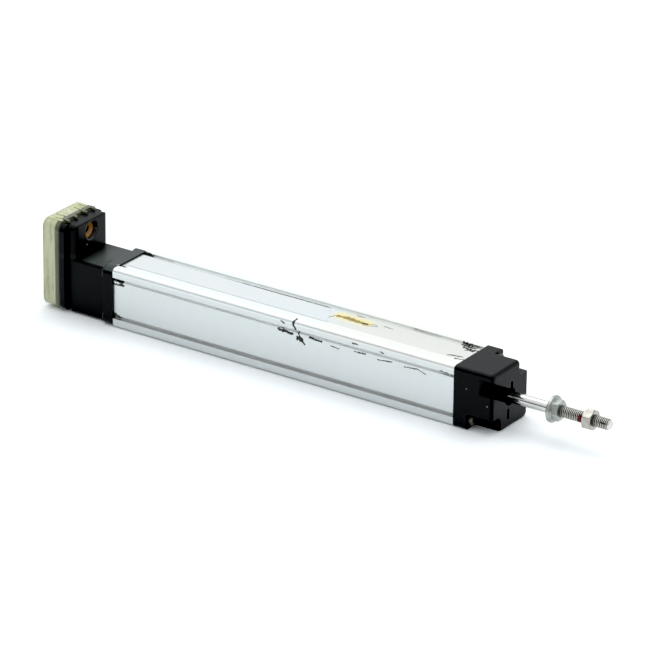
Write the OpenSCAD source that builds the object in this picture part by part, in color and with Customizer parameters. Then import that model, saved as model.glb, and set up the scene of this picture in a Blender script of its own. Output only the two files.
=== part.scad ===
// Linear displacement transducer with a push rod, a grooved square housing
// and a terminal box at its rear end. Lengths are in millimetres.
// X runs along the push rod towards its tip, Y across, Z up.
// The origin lies under the middle of the whole part, on its resting plane.

/* [Housing profile] */
// Mechanical stroke of the push rod
stroke = 155; // [100:5:250]
// Width and height of the square extruded profile
profile_w = 33; // [32:0.5:36]
// Radius of the profile's outer edges
corner_r = 2; // [1:0.5:3]
// Width of each corner bar, from the edge to its clamp groove
bar_w = 5; // [4.8:0.1:5.4]
// Width of each clamp groove
groove_w = 1.8; // [1.4:0.1:2.2]
// Depth of each clamp groove
groove_d = 2.2; // [1.8:0.1:2.3]
// Step from the corner bars down to the panel between two grooves
panel_drop = 0.9; // [0.4:0.1:1.2]
// Wall between the floor of a groove and the chamber
chamber_wall = 1.7; // [1.5:0.1:2]
// Distance of each screw axis from the two nearest outer faces
port_inset = 4.6; // [4.5:0.1:4.8]

/* [Front flange] */
// Length of the front flange
front_l = 22.9; // [21:0.1:26]
// Depth from the front face to the seat of each front screw
front_seat_d = 14.9; // [13:0.1:16]
// Radius of the hollow that lets a driver reach a front screw
driver_r = 3.9; // [3.7:0.1:4.2]
// Radius of the open pocket round the rod in the front face
pocket_r = 4.7; // [4.3:0.1:5]
// Depth of the side scoop that runs from the pocket to the near side
scoop_d = 8; // [6:0.5:9]
// Width of the side scoop
scoop_w = 7.2; // [6:0.1:7.6]
// Rise of the side scoop towards the near side, in degrees
scoop_rise = 28; // [20:1:32]
// Width of the two moulded slits over and under the pocket
slit_w = 1.8; // [1.2:0.1:2.2]
// Distance of each slit's middle from the rod's axis, across the face
slit_off = 1.4; // [0:0.1:2]

/* [Rear housing] */
// Length of the flange plate against the profile
rear_plate_l = 6.2; // [5:0.1:8]
// Length of the neck between the flange plate and the terminal box
neck_l = 19.6; // [15:0.1:25]
// Step from the profile's side in to the side of the neck
neck_step = 2.5; // [1.5:0.1:3]
// Step from the profile's top down to the top of the neck
neck_drop = 2; // [1:0.1:3]
// Depth of the terminal box along X
box_l = 5.5; // [5:0.1:7]
// Height of the terminal box over the resting plane
box_h = 49; // [48:0.5:54]
// Height of the housing's underside over the resting plane
under_gap = 0.5; // [0.3:0.1:1]
// Radius of the box's upright edges
box_edge_r = 2.6; // [1.5:0.1:3]

/* [Terminal frame and cover] */
// Depth of the terminal frame along X
frame_l = 5.9; // [5:0.1:7]
// Depth of the cover from its back to the plane of the frame's back face
cover_l = 8.6; // [8:0.1:12]
// Wall of the cover
cover_t = 1.6; // [1.4:0.1:2]
// Radius of the cover's corners
cover_r = 4.6; // [4:0.1:5.5]
// Length that the cover's skirt reaches over the frame
skirt_l = 3; // [2.5:0.1:3.6]
// Width of each spring tongue on the cover
tongue_w = 8; // [6:0.5:9]
// Distance between the middles of the two spring tongues
tongue_pitch = 15; // [13:0.5:17]

/* [Cable entry] */
// Radius of the cable entry's thread bore
entry_r = 5.2; // [4.6:0.1:5.4]
// Distance from the terminal box's top down to the middle of the cable entry
entry_drop = 6.4; // [6:0.1:7]
// Depth of the thread bore down to the seal
entry_d = 2.6; // [2.2:0.1:2.8]
// Radius of the cable hole in the seal
cable_r = 2; // [1.5:0.1:2.6]

/* [Push rod] */
// Diameter of the push rod
rod_d = 6; // [5:0.5:6]
// Length of rod that stands out of the front flange at rest
rod_out = 58.2; // [55:0.1:80]
// Step from the thread's outside in to where the rod's and a nut's threads meet
thread_drop = 0.325; // [0.25:0.005:0.4]
// Radial clearance between the rod and what guides it
run_clear = 0.05; // [0.02:0.01:0.08]
// Width of both nuts across their flats
nut_af = 10; // [9:0.5:10]
// Length of the flange nut
flange_nut_l = 5.5; // [5:0.1:7]
// Diameter of the flange nut's flange
flange_nut_d = 14.2; // [13:0.1:15]
// Distance from the rod's tip to the flange nut's front face
flange_nut_back = 28.2; // [26:0.1:29]
// Length of the lock nut
lock_nut_l = 5; // [4:0.1:6]
// Distance from the rod's tip to the lock nut's front face
lock_nut_back = 9.1; // [6:0.1:12]

/* [Carrier and track] */
// Length of the wiper carrier
carrier_l = 40.8; // [38:0.1:60]
// Gap between parts that move past each other
gap = 0.3; // [0.25:0.05:0.4]
// Distance from the inner stop to the carrier at rest
rest_out = 2; // [1:0.5:5]
// Gap between each edge of the track board and the block beside it
board_gap = 0.3; // [0.2:0.05:0.8]
// Thickness of the track board
board_t = 1.6; // [1:0.1:2]
// Thickness of each end damper
damper_t = 4; // [3:0.5:6]

/* [Hidden] */
$fn = 48;

// Smallest overlap of cutting shapes past a face
eps = 0.5;
half_w = profile_w / 2;
axis_z = half_w;
rod_r = rod_d / 2;

// Screws: four ports, one near each edge of the section
port_r = 1.5;
port_boss_r = 3;
port_off = half_w - port_inset;
screw_r = 1.45;
screw_hole_r = 1.8;
head_r = 3.3;
head_t = 2.4;
rear_head_r = 2.4;
rear_head_clear = 0.15;
rear_head_d = head_t + 0.2;
screw_bite = 9;

// Chamber inside the profile
chamber_w = profile_w - 2 * (groove_d + chamber_wall);
chamber_floor = axis_z - chamber_w / 2;

// Front flange inside
gasket_t = 0.8;
gasket_edge = 0.7;
spigot_l = 6;
spigot_gap = 4.3;
spigot_r = chamber_w / 2 - spigot_gap;
bush_r = 5;
bush_l = 13;
seal_l = 3.4;
retainer_t = 1;

// Lengths stacked along X, from the cover's back to the rod's tip
profile_l = stroke + carrier_l + 2 * damper_t + spigot_l + 2 * gap;
overall_l = cover_l + frame_l + box_l + neck_l + rear_plate_l + profile_l + front_l + rod_out;
x_cover = -overall_l / 2;
x_frame = x_cover + cover_l;
x_box = x_frame + frame_l;
x_neck = x_box + box_l;
x_plate = x_neck + neck_l;
x_profile = x_plate + rear_plate_l;
x_front = x_profile + profile_l;
x_face = x_front + front_l;
x_tip = x_face + rod_out;

// Nuts on the rod and the thread under them
x_flange_nut = x_tip - flange_nut_back - flange_nut_l;
x_lock_nut = x_tip - lock_nut_back - lock_nut_l;
meet_r = rod_r - thread_drop;
thread_clear = 0.02;
nut_air = 0.1;

// Carrier
x_carrier = x_profile + damper_t + gap + rest_out;
x_carrier_end = x_carrier + carrier_l;
carrier_w = 2 * (port_off - port_boss_r) - 1;
wing_h = 2 * (port_off - port_boss_r) - 1.4;
shoe_t = 1.4;
shoe_l = 8;
shoe_h = 6;
shoe_out = chamber_w / 2 - gap;
wing_y = shoe_out - 0.7;
web_l = 8;
web_front = 4;
cup_wall = 1.9;
cup_r = carrier_w / 2 - cup_wall;
ring_t = 0.8;
ring_r = rod_r + (cup_r - rod_r) * 5 / 7;
ring_groove_r = rod_r - 0.5;
x_web_end = x_carrier_end - web_front;
x_web = x_web_end - web_l;

// Track board, its two tracks and the wiper over them
board_w = 2 * (port_off - port_boss_r - board_gap);
board_top = chamber_floor + board_t;
track_t = 0.15;
track_y = board_w / 4.3;
track_w = 0.75 * track_y;
track_top = board_top + track_t;
wiper_t = 0.3;
wiper_w = 2 * track_y + track_w;
wiper_l = 12;
finger_w = 1;
carrier_under = track_top + 2.4;
rivet_r = 0.8;
rivet_head_r = 1.5;
rivet_head_t = 0.5;

// Rear housing
neck_half = half_w - neck_step;
neck_top = profile_w - neck_drop;
plate_edge_r = 4.3;
plate_boss_r = plate_edge_r - 0.25;
plate_boss_out = 0.9;
hollow_half = 7.5;
hollow_z0 = chamber_floor + 1.1;
hollow_z1 = neck_top - 6;
plate_wall = 3;

// Terminal frame and cover
frame_edge_r = 4;
frame_z0 = 1;
frame_h = box_h - frame_z0;
frame_mid_z = (box_h + frame_z0) / 2;
cover_clear = 0.1;
cover_seal_t = 0.8;
cover_up = 0.7;
cover_h = frame_h + 0.9;
cover_mid_z = frame_mid_z + cover_up;
x_skirt = x_frame + skirt_l;
inner_w = profile_w - 2 * (cover_t + cover_clear);
inner_h = cover_h - 2 * (cover_t + cover_clear);
inner_r = cover_r - cover_t;
window_half = inner_w / 2 - 3.3;
frame_bar_h = 9.4;
window_z0 = hollow_z1 + frame_bar_h;
window_z1 = box_h - 3;

// Cable entry and the seal behind its thread bore
entry_z = box_h - entry_drop;
lip_t = 0.3;
seal_r = entry_r - 0.5;
cable_seal_t = box_l - entry_d - lip_t;

// Terminal block across the frame's bar
poles = 3;
pole_pitch = 5;
block_w = poles * pole_pitch + 1;
block_h = 8;
block_l = 6;
block_z0 = hollow_z1 + 0.7;
block_hole_r = 0.85;
clamp_s = 3.2;

// Internal leads
lead_r = 0.6;
lead_bend_r = 3;
lead_z = board_top + lead_r;
lead_seal_h = 2.4;
lead_seal_w = poles * pole_pitch - 1;

// Points of a rectangle with round corners, going round from +X
function round_rect(w, h, r, steps = 6) = [
    for (q = [0:3], i = [0:steps])
        let (
            a = 90 * q + 90 * i / steps,
            cx = (w / 2 - r) * (q == 0 || q == 3 ? 1 : -1),
            cy = (h / 2 - r) * (q < 2 ? 1 : -1)
        )
        [cx + r * cos(a), cy + r * sin(a)]
];

// Stands a Y-Z outline up and carries it along +X from x0 over a length
module along_x(x0, l) {
    translate([x0, 0, 0])
        rotate([90, 0, 90])
            linear_extrude(height = l)
                children();
}

// Round bar or bore along +X
module bar_x(x0, l, r, y = 0, z = axis_z) {
    translate([x0, y, z])
        rotate([0, 90, 0])
            cylinder(h = l, r = r);
}

// Ring along +X
module ring_x(x0, l, r_out, r_in, y = 0, z = axis_z) {
    difference() {
        bar_x(x0, l, r_out, y, z);
        bar_x(x0 - eps, l + 2 * eps, r_in, y, z);
    }
}

// Body of revolution about the rod's axis, from points of (radius, distance along X)
module turned_x(x0, points) {
    translate([x0, 0, axis_z])
        rotate([0, 90, 0])
            rotate_extrude()
                polygon(points);
}

// Box given by its low corner and its size
module block(low, size) {
    translate(low)
        cube(size);
}

// The four screw axes in the Y-Z section
module at_ports() {
    for (sy = [-1, 1], sz = [-1, 1])
        translate([sy * port_off, axis_z + sz * port_off])
            children();
}

// The two front screws stand on one diagonal: near-bottom and far-top
module at_front_ports() {
    for (s = [-1, 1])
        translate([s * port_off, axis_z + s * port_off])
            children();
}

// Chamber outline: a square with a block left in each corner for its port
module chamber_section(grow = 0) {
    side = chamber_w + 2 * grow;
    difference() {
        translate([-side / 2, axis_z - side / 2])
            square(side);
        for (sy = [-1, 1], sz = [-1, 1])
            translate([sy * port_off, axis_z + sz * port_off]) {
                circle(r = port_boss_r - grow);
                translate([sy > 0 ? 0 : -profile_w, -port_boss_r + grow])
                    square([profile_w, 2 * (port_boss_r - grow)]);
                translate([-port_boss_r + grow, sz > 0 ? 0 : -profile_w])
                    square([2 * (port_boss_r - grow), profile_w]);
            }
    }
}

// One side's pair of clamp grooves and the lowered panel between them,
// drawn at the bottom side
module side_cuts() {
    for (s = [-1, 1])
        translate([s * (half_w - bar_w - groove_w / 2) - groove_w / 2, -eps])
            square([groove_w, groove_d + eps]);
    panel = profile_w - 2 * bar_w - groove_w;
    translate([-panel / 2, -eps])
        square([panel, panel_drop + eps]);
}

// Extruded aluminium housing
module profile() {
    color([0.80, 0.82, 0.82])
        along_x(x_profile, profile_l)
            difference() {
                translate([0, axis_z])
                    polygon(round_rect(profile_w, profile_w, corner_r));
                for (q = [0:3])
                    translate([0, axis_z])
                        rotate(90 * q)
                            translate([0, -axis_z])
                                side_cuts();
                chamber_section();
                at_ports()
                    circle(r = port_r);
            }
}

// Flat seal between a flange and the profile's end, one face on the profile
module gasket(x0) {
    color([0.16, 0.16, 0.16])
        along_x(x0, gasket_t)
            difference() {
                translate([0, axis_z])
                    polygon(round_rect(profile_w - 4, profile_w - 4, corner_r));
                chamber_section(-gasket_edge / 2);
                at_ports()
                    circle(r = screw_hole_r);
            }
}

module front_gasket() {
    gasket(x_front);
}

module rear_gasket() {
    gasket(x_profile - gasket_t);
}

// Recess in a flange that takes a gasket
module gasket_recess(x0) {
    along_x(x0, gasket_t + eps)
        difference() {
            translate([0, axis_z])
                polygon(round_rect(profile_w - 4, profile_w - 4, corner_r));
            translate([0, axis_z])
                circle(r = spigot_r);
        }
}

// Hollow in a corner of the front flange that leads a driver to its screw
module driver_hollow(s) {
    x_seat = x_face - front_seat_d;
    l = front_seat_d + eps;
    out = port_inset + eps;
    y = s * port_off;
    z = axis_z + s * port_off;
    bar_x(x_seat, l, driver_r, y, z);
    // From the round hollow out through both of the corner's faces
    block([x_seat, s > 0 ? y : y - out, s > 0 ? z - driver_r : z - out], [l, out, out + driver_r]);
    block([x_seat, s > 0 ? y - driver_r : y - out, s > 0 ? z : z - out], [l, out + driver_r, out]);
}

// Scoop in the front face from the rod's pocket out to the near side,
// with a rounded end at the pocket
module side_scoop() {
    translate([x_face - scoop_d, 0, axis_z])
        rotate([-scoop_rise, 0, 0]) {
            translate([0, -profile_w, -scoop_w / 2])
                cube([scoop_d + eps, profile_w, scoop_w]);
            rotate([0, 90, 0])
                cylinder(h = scoop_d + eps, r = scoop_w / 2);
        }
}

// Moulded front flange: bearing seat, rod pocket, scoop, slits and driver hollows
module front_flange() {
    slit_d = 2.5;
    upper_l = 3;
    lower_l = 5.4;
    lower_gap = 1.6;
    color([0.07, 0.07, 0.07])
        difference() {
            union() {
                along_x(x_front, front_l - corner_r)
                    translate([0, axis_z])
                        polygon(round_rect(profile_w, profile_w, corner_r));
                front_rim();
                bar_x(x_front - spigot_l, spigot_l + eps, spigot_r);
            }
            gasket_recess(x_front - eps);
            bar_x(x_front - spigot_l - eps, spigot_l + bush_l - spigot_l + 2 * eps, bush_r);
            bar_x(x_front, front_l + eps, pocket_r);
            side_scoop();
            for (s = [-1, 1])
                driver_hollow(s);
            // The upper slit runs into the pocket, the lower one stands clear of it
            block(
                [x_face - slit_d, slit_off - slit_w / 2, axis_z + pocket_r - 2 * eps],
                [slit_d + eps, slit_w, upper_l + 2 * eps]
            );
            block(
                [x_face - slit_d, -slit_off - slit_w / 2, axis_z - pocket_r - lower_gap - lower_l],
                [slit_d + eps, slit_w, lower_l]
            );
            at_front_ports_x(x_front - eps, front_l, screw_hole_r);
        }
}

// Last stretch of the front flange, whose edges round over in small steps:
// each slab is narrower than the one before and reaches further forward
module front_rim() {
    x0 = x_face - corner_r - eps;
    for (a = [22.5:22.5:90]) {
        inset = corner_r * (1 - cos(a - 11.25));
        along_x(x0, corner_r * sin(a) + eps)
            translate([0, axis_z])
                polygon(round_rect(profile_w - 2 * inset, profile_w - 2 * inset, corner_r));
    }
}

// Bars along X at the two front screw axes
module at_front_ports_x(x0, l, r) {
    for (s = [-1, 1])
        bar_x(x0, l, r, s * port_off, axis_z + s * port_off);
}

// Sliding bush that guides the rod, pressed into the flange from inside
module bearing_bush() {
    color([0.62, 0.52, 0.34])
        ring_x(x_front - spigot_l, bush_l, bush_r, rod_r + run_clear);
}

// Lip seal in front of the bush
module rod_seal() {
    x0 = x_front - spigot_l + bush_l;
    color([0.10, 0.10, 0.10])
        turned_x(x0, [
            [rod_r + run_clear, 0],
            [pocket_r, 0],
            [pocket_r, seal_l],
            [pocket_r - 0.8, seal_l],
            [rod_r + 0.9, seal_l - 1.2],
            [rod_r + run_clear, seal_l - 0.3]
        ]);
}

// Retaining ring that holds the lip seal in its pocket
module seal_retainer() {
    x0 = x_front - spigot_l + bush_l + seal_l;
    color([0.35, 0.35, 0.36])
        ring_x(x0, retainer_t, pocket_r, rod_r + 0.8);
}

// Pan-head screw along X whose head sits at x_seat, pointing to -X or +X
module screw(x_seat, l, to, y, z, r_head) {
    difference() {
        union() {
            translate([x_seat, y, z])
                rotate([0, -to * 90, 0])
                    rotate_extrude()
                        polygon([
                            [0, 0],
                            [r_head, 0],
                            [r_head, head_t * 0.55],
                            [r_head * 0.78, head_t * 0.9],
                            [r_head * 0.4, head_t],
                            [0, head_t]
                        ]);
            bar_x(to > 0 ? x_seat - eps : x_seat - l, l + eps, screw_r, y, z);
        }
        slot_w = 0.9;
        translate([x_seat - to * head_t, y, z])
            for (a = [0, 90])
                rotate([a, 0, 0])
                    cube([head_t, slot_w, 1.2 * r_head], center = true);
    }
}

// Two screws that hold the front flange
module front_screws() {
    x_seat = x_face - front_seat_d;
    color([0.72, 0.72, 0.70])
        for (s = [-1, 1])
            screw(x_seat, x_seat - x_front + screw_bite, -1, s * port_off, axis_z + s * port_off, head_r);
}

// Rubber stop round the rod on the front flange's spigot
module front_damper() {
    color([0.12, 0.12, 0.12])
        ring_x(x_front - spigot_l - damper_t, damper_t, spigot_r, rod_r + 0.6);
}

// Rubber stop on the rear housing's peg
module rear_damper() {
    color([0.12, 0.12, 0.12])
        ring_x(x_profile, damper_t, spigot_r, 2.9);
}

// Flange plate of the rear housing, with a round boss over each screw
module rear_plate() {
    along_x(x_plate, rear_plate_l)
        translate([0, axis_z])
            polygon(round_rect(profile_w, profile_w, plate_edge_r, 8));
    for (sy = [-1, 1], sz = [-1, 1])
        translate([0, sy * port_off, sz * port_off])
            bar_x(x_plate - plate_boss_out, plate_boss_out + 1, plate_boss_r);
}

// Outer form of the upright terminal box, its two front edges rounded
module box_shell() {
    h = box_h - under_gap;
    r = box_edge_r;
    w = 2 * neck_half;
    translate([x_box, 0, under_gap])
        linear_extrude(height = h)
            polygon(concat(
                [[0, -w / 2]],
                [for (i = [0:6]) [box_l - r + r * sin(15 * i), -w / 2 + r - r * cos(15 * i)]],
                [for (i = [0:6]) [box_l - r + r * cos(15 * i), w / 2 - r + r * sin(15 * i)]],
                [[0, w / 2]]
            ));
}

// Rounds the terminal box's top corners, seen along X
module box_trim() {
    along_x(x_box - eps, box_l + 2 * eps)
        translate([0, (box_h + under_gap) / 2])
            polygon(round_rect(2 * neck_half, box_h - under_gap, 3, 6));
}

// Neck between the flange plate and the terminal box, top edges rounded
module neck() {
    h = neck_top - under_gap;
    along_x(x_neck - box_edge_r - eps, neck_l + box_edge_r + 2 * eps)
        translate([0, under_gap + h / 2])
            polygon(round_rect(2 * neck_half, h, 1.6, 4));
}

// Rear housing in one moulding: flange plate, neck and terminal box
module rear_housing() {
    color([0.07, 0.07, 0.07])
        difference() {
            union() {
                rear_plate();
                neck();
                intersection() {
                    box_shell();
                    box_trim();
                }
                bar_x(x_profile - eps, 3 + eps, 2.6);
            }
            gasket_recess(x_profile - gasket_t);
            // Hollow of the neck, open to the back
            block(
                [x_box - eps, -hollow_half, hollow_z0],
                [x_profile - plate_wall - x_box + eps, 2 * hollow_half, hollow_z1 - hollow_z0]
            );
            // Seat of the lead seal in the plate's wall
            block(
                [x_profile - plate_wall - eps, -lead_seal_w / 2, lead_z - lead_seal_h / 2],
                [plate_wall + 2 * eps, lead_seal_w, lead_seal_h]
            );
            // Cable entry: thread bore, seal seat and the way inside
            bar_x(x_neck - entry_d, entry_d + eps, entry_r, 0, entry_z);
            bar_x(x_box + lip_t, box_l - entry_d - lip_t + eps, seal_r, 0, entry_z);
            bar_x(x_box - eps, box_l, seal_r - 1, 0, entry_z);
            // Screw holes from the box to the profile
            for (s = [-1, 1])
                translate([0, s * port_off, port_off])
                    bar_x(x_box - eps, x_profile - x_box + 2 * eps, screw_hole_r);
        }
}

// Two long screws through the frame and the neck into the profile's upper ports
module rear_screws() {
    x_seat = x_frame + rear_head_d;
    color([0.72, 0.72, 0.70])
        for (s = [-1, 1])
            translate([0, 0, port_off])
                screw(x_seat, x_profile + screw_bite - x_seat, 1, s * port_off, axis_z, rear_head_r);
}

// Circuit board that carries the resistance tracks
module track_board() {
    margin = 1.5;
    color([0.20, 0.32, 0.20])
        block(
            [x_profile + margin, -board_w / 2, chamber_floor],
            [profile_l - 2 * margin, board_w, board_t]
        );
}

// Conductive-plastic track and its collector
module resistance_tracks() {
    margin = 5;
    color([0.05, 0.05, 0.05])
        for (s = [-1, 1])
            block(
                [x_profile + margin, s * track_y - track_w / 2, board_top],
                [profile_l - 2 * margin, track_w, track_t]
            );
}

// Section of the carrier: a central block with a wing on each side
module carrier_section() {
    translate([-carrier_w / 2, carrier_under])
        square([carrier_w, axis_z + chamber_w / 2 - gap - carrier_under]);
    translate([-wing_y, axis_z - wing_h / 2])
        square([2 * wing_y, wing_h]);
}

// Moulded wiper carrier with the rod's coupling web
module carrier() {
    color([0.85, 0.84, 0.78])
        difference() {
            along_x(x_carrier, carrier_l)
                carrier_section();
            bar_x(x_carrier - eps, x_web - x_carrier + eps, cup_r);
            bar_x(x_carrier, carrier_l, rod_r + run_clear);
            bar_x(x_web_end, web_front + eps, cup_r);
            slide_shoe_blocks();
            wiper_rivet_bars();
        }
}

// The four slide shoes' blocks, one pair near each end of the carrier
module slide_shoe_blocks() {
    inset = 3;
    for (s = [-1, 1], x = [x_carrier + inset, x_carrier_end - inset - shoe_l])
        block(
            [x, s > 0 ? shoe_out - shoe_t : -shoe_out, axis_z - shoe_h / 2],
            [shoe_l, shoe_t, shoe_h]
        );
}

module slide_shoes() {
    color([0.93, 0.92, 0.88])
        slide_shoe_blocks();
}

// Shanks of the two rivets that hold the wiper
module wiper_rivet_bars() {
    x_mid = x_carrier + wiper_l / 2 + 2;
    for (s = [-1, 1])
        translate([x_mid, s * wiper_w / 4, carrier_under - wiper_t - eps / 2])
            cylinder(h = 1.6, r = rivet_r);
}

module wiper_rivets() {
    x_mid = x_carrier + wiper_l / 2 + 2;
    color([0.80, 0.66, 0.36])
        for (s = [-1, 1])
            translate([x_mid, s * wiper_w / 4, 0]) {
                translate([0, 0, carrier_under - wiper_t - rivet_head_t])
                    cylinder(h = rivet_head_t, r = rivet_head_r);
                translate([0, 0, carrier_under - wiper_t - eps / 2])
                    cylinder(h = 1.6, r = rivet_r);
            }
}

// Contact spring: a plate under the carrier with two fingers over each track
module wiper() {
    x0 = x_carrier + 2;
    z1 = carrier_under;
    tip = track_top + gap;
    reach = 7;
    color([0.88, 0.74, 0.40])
        difference() {
            union() {
                block([x0, -wiper_w / 2, z1 - wiper_t], [wiper_l, wiper_w, wiper_t]);
                for (s = [-1, 1], k = [-1, 1])
                    translate([0, s * track_y + k * (finger_w / 2 + gap / 2) + finger_w / 2, 0])
                        rotate([90, 0, 0])
                            linear_extrude(height = finger_w)
                                polygon([
                                    [x0 + wiper_l - 1, z1],
                                    [x0 + wiper_l + 0.4, z1],
                                    [x0 + wiper_l + reach - 1, tip + wiper_t],
                                    [x0 + wiper_l + reach, tip + wiper_t],
                                    [x0 + wiper_l + reach + 1, tip + wiper_t + 0.7],
                                    [x0 + wiper_l + reach + 1.2, tip + 0.4 + wiper_t],
                                    [x0 + wiper_l + reach + 0.3, tip],
                                    [x0 + wiper_l + reach - 1.3, tip],
                                    [x0 + wiper_l, z1 - wiper_t],
                                    [x0 + wiper_l - 1, z1 - wiper_t]
                                ]);
            }
            wiper_rivet_bars();
        }
}

// Four points of a turned groove that starts at x on the rod, for turned_x
function rod_groove(x, l, r) = [[rod_r, x], [r, x], [r, x + l], [rod_r, x + l]];

// Push rod: smooth shank, threaded end with a chamfered tip, two ring grooves
// inside the carrier, and under each nut the radius where the threads meet
module rod() {
    behind = 1.2;
    x_end = x_web - gap - ring_t - behind;
    l = x_tip - x_end;
    entry = 0.3;
    tip_chamfer = 0.9;
    color([0.75, 0.75, 0.74])
        turned_x(x_end, concat(
            [[0, 0], [rod_r - entry, 0], [rod_r, entry]],
            rod_groove(behind, ring_t, ring_groove_r),
            rod_groove(x_web_end + gap - x_end, ring_t, ring_groove_r),
            rod_groove(x_flange_nut - nut_air - x_end, flange_nut_l + 2 * nut_air, meet_r),
            rod_groove(x_lock_nut - nut_air - x_end, lock_nut_l + 2 * nut_air, meet_r),
            [[rod_r, l - tip_chamfer], [rod_r - tip_chamfer, l], [0, l]]
        ));
}

// Retaining rings on the rod, one on each side of the carrier's web
module coupling_rings() {
    color([0.30, 0.30, 0.32])
        for (x = [x_web - gap - ring_t, x_web_end + gap])
            ring_x(x, ring_t, ring_r, ring_groove_r);
}

// Hexagon prism along X with its corners chamfered at the marked ends
module hex_body(x0, l, chamfer_rear, chamfer_front) {
    corner = nut_af / 2 / cos(30);
    drop = corner - nut_af / 2 + 0.1;
    rise = drop * tan(30);
    intersection() {
        translate([x0, 0, axis_z])
            rotate([0, 90, 0])
                cylinder(h = l, r = corner, $fn = 6);
        turned_x(x0, [
            [0, 0],
            [chamfer_rear ? corner - drop : corner + 1, 0],
            [chamfer_rear ? corner : corner + 1, chamfer_rear ? rise : 0],
            [corner + 1, chamfer_rear ? rise + tan(30) : 0.01],
            [corner + 1, l - rise - tan(30)],
            [chamfer_front ? corner : corner + 1, chamfer_front ? l - rise : l - 0.01],
            [chamfer_front ? corner - drop : corner + 1, l],
            [0, l]
        ]);
    }
}

// Nut with a round flange towards the housing
module flange_nut() {
    x0 = x_flange_nut;
    flange_t = 1.4;
    cone_l = 1;
    flange_r = flange_nut_d / 2;
    color([0.62, 0.66, 0.62])
        difference() {
            union() {
                hex_body(x0 + 0.4, flange_nut_l - 0.4, false, true);
                turned_x(x0, [
                    [0, 0],
                    [flange_r - 0.3, 0],
                    [flange_r, 0.3],
                    [flange_r, flange_t - 0.4],
                    [flange_r - 0.4, flange_t],
                    [nut_af / 2 + 0.6, flange_t + cone_l],
                    [0, flange_t + cone_l]
                ]);
            }
            bar_x(x0 - eps, flange_nut_l + 2 * eps, meet_r + thread_clear);
        }
}

// Plain hexagon nut
module lock_nut() {
    color([0.80, 0.79, 0.74])
        difference() {
            hex_body(x_lock_nut, lock_nut_l, true, true);
            bar_x(x_lock_nut - eps, lock_nut_l + 2 * eps, meet_r + thread_clear);
        }
}

// Raised catch on the frame for one spring tongue of the cover
module catch(y) {
    w = tongue_w - 3.4;
    x0 = x_skirt + 0.2;
    translate([0, y + w / 2, 0])
        rotate([90, 0, 0])
            linear_extrude(height = w)
                polygon([
                    [x0, box_h - eps],
                    [x0 + 0.3, box_h + 0.9],
                    [x0 + 0.8, box_h + 0.9],
                    [x0 + 1.9, box_h + 0.1],
                    [x0 + 1.9, box_h - eps]
                ]);
}

// Black frame behind the box: it carries the terminals and the cover
module terminal_frame() {
    color([0.08, 0.08, 0.08])
        difference() {
            union() {
                along_x(x_skirt, frame_l - skirt_l)
                    translate([0, frame_mid_z])
                        polygon(round_rect(profile_w, frame_h, frame_edge_r, 8));
                along_x(x_frame, skirt_l + eps)
                    translate([0, cover_mid_z])
                        polygon(round_rect(inner_w, inner_h, inner_r, 8));
                for (s = [-1, 1])
                    catch(s * tongue_pitch / 2);
            }
            // Room for the cable behind its seal
            block(
                [x_frame - eps, -window_half, window_z0],
                [frame_l + 2 * eps, 2 * window_half, window_z1 - window_z0]
            );
            // Way for the leads, in line with the hollow of the neck
            block(
                [x_frame - eps, -hollow_half, hollow_z0],
                [frame_l + 2 * eps, 2 * hollow_half, hollow_z1 - hollow_z0]
            );
            // Counterbore and hole of each rear screw
            for (s = [-1, 1])
                translate([0, s * port_off, port_off]) {
                    bar_x(x_frame - eps, rear_head_d + eps, rear_head_r + rear_head_clear);
                    bar_x(x_frame, frame_l + eps, screw_hole_r);
                }
        }
}

// Middle of each pole across the block
function pole_y(i) = (i - (poles - 1) / 2) * pole_pitch;

// Insulating block with a clamp chamber for each pole
module terminal_block() {
    z_mid = block_z0 + block_h / 2;
    color([0.90, 0.89, 0.84])
        difference() {
            block([x_frame - block_l, -block_w / 2, block_z0], [block_l, block_w, block_h]);
            for (i = [0:poles - 1]) {
                // Chamber of the clamp
                block(
                    [x_frame - block_l + 1.6, pole_y(i) - clamp_s / 2, z_mid - clamp_s / 2],
                    [clamp_s, clamp_s, clamp_s]
                );
                // Hole for the screw's head, and the wire holes above and below
                bar_x(x_frame - block_l - eps, 1.6 + 2 * eps, 1.4, pole_y(i), z_mid);
                translate([x_frame - block_l + 1.6 + clamp_s / 2, pole_y(i), block_z0 - eps])
                    cylinder(h = block_h + 2 * eps, r = block_hole_r);
            }
        }
}

// Brass clamp in each pole
module terminal_clamps() {
    z_mid = block_z0 + block_h / 2;
    color([0.80, 0.66, 0.34])
        for (i = [0:poles - 1])
            difference() {
                block(
                    [x_frame - block_l + 1.6, pole_y(i) - clamp_s / 2, z_mid - clamp_s / 2],
                    [clamp_s, clamp_s, clamp_s]
                );
                translate([x_frame - block_l + 1.6 + clamp_s / 2, pole_y(i), block_z0])
                    cylinder(h = block_h, r = block_hole_r);
                bar_x(x_frame - block_l, 1.6 + clamp_s / 2, 0.8, pole_y(i), z_mid);
            }
}

// Slotted screw of each clamp
module terminal_screws() {
    z_mid = block_z0 + block_h / 2;
    x0 = x_frame - block_l + 0.4;
    color([0.74, 0.74, 0.72])
        for (i = [0:poles - 1])
            difference() {
                union() {
                    bar_x(x0, 1.2, 1.3, pole_y(i), z_mid);
                    bar_x(x0 + 1, 0.9, 0.75, pole_y(i), z_mid);
                }
                block([x0 - eps, pole_y(i) - 1.3, z_mid - 0.25], [eps + 0.6, 2.6, 0.5]);
            }
}

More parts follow.
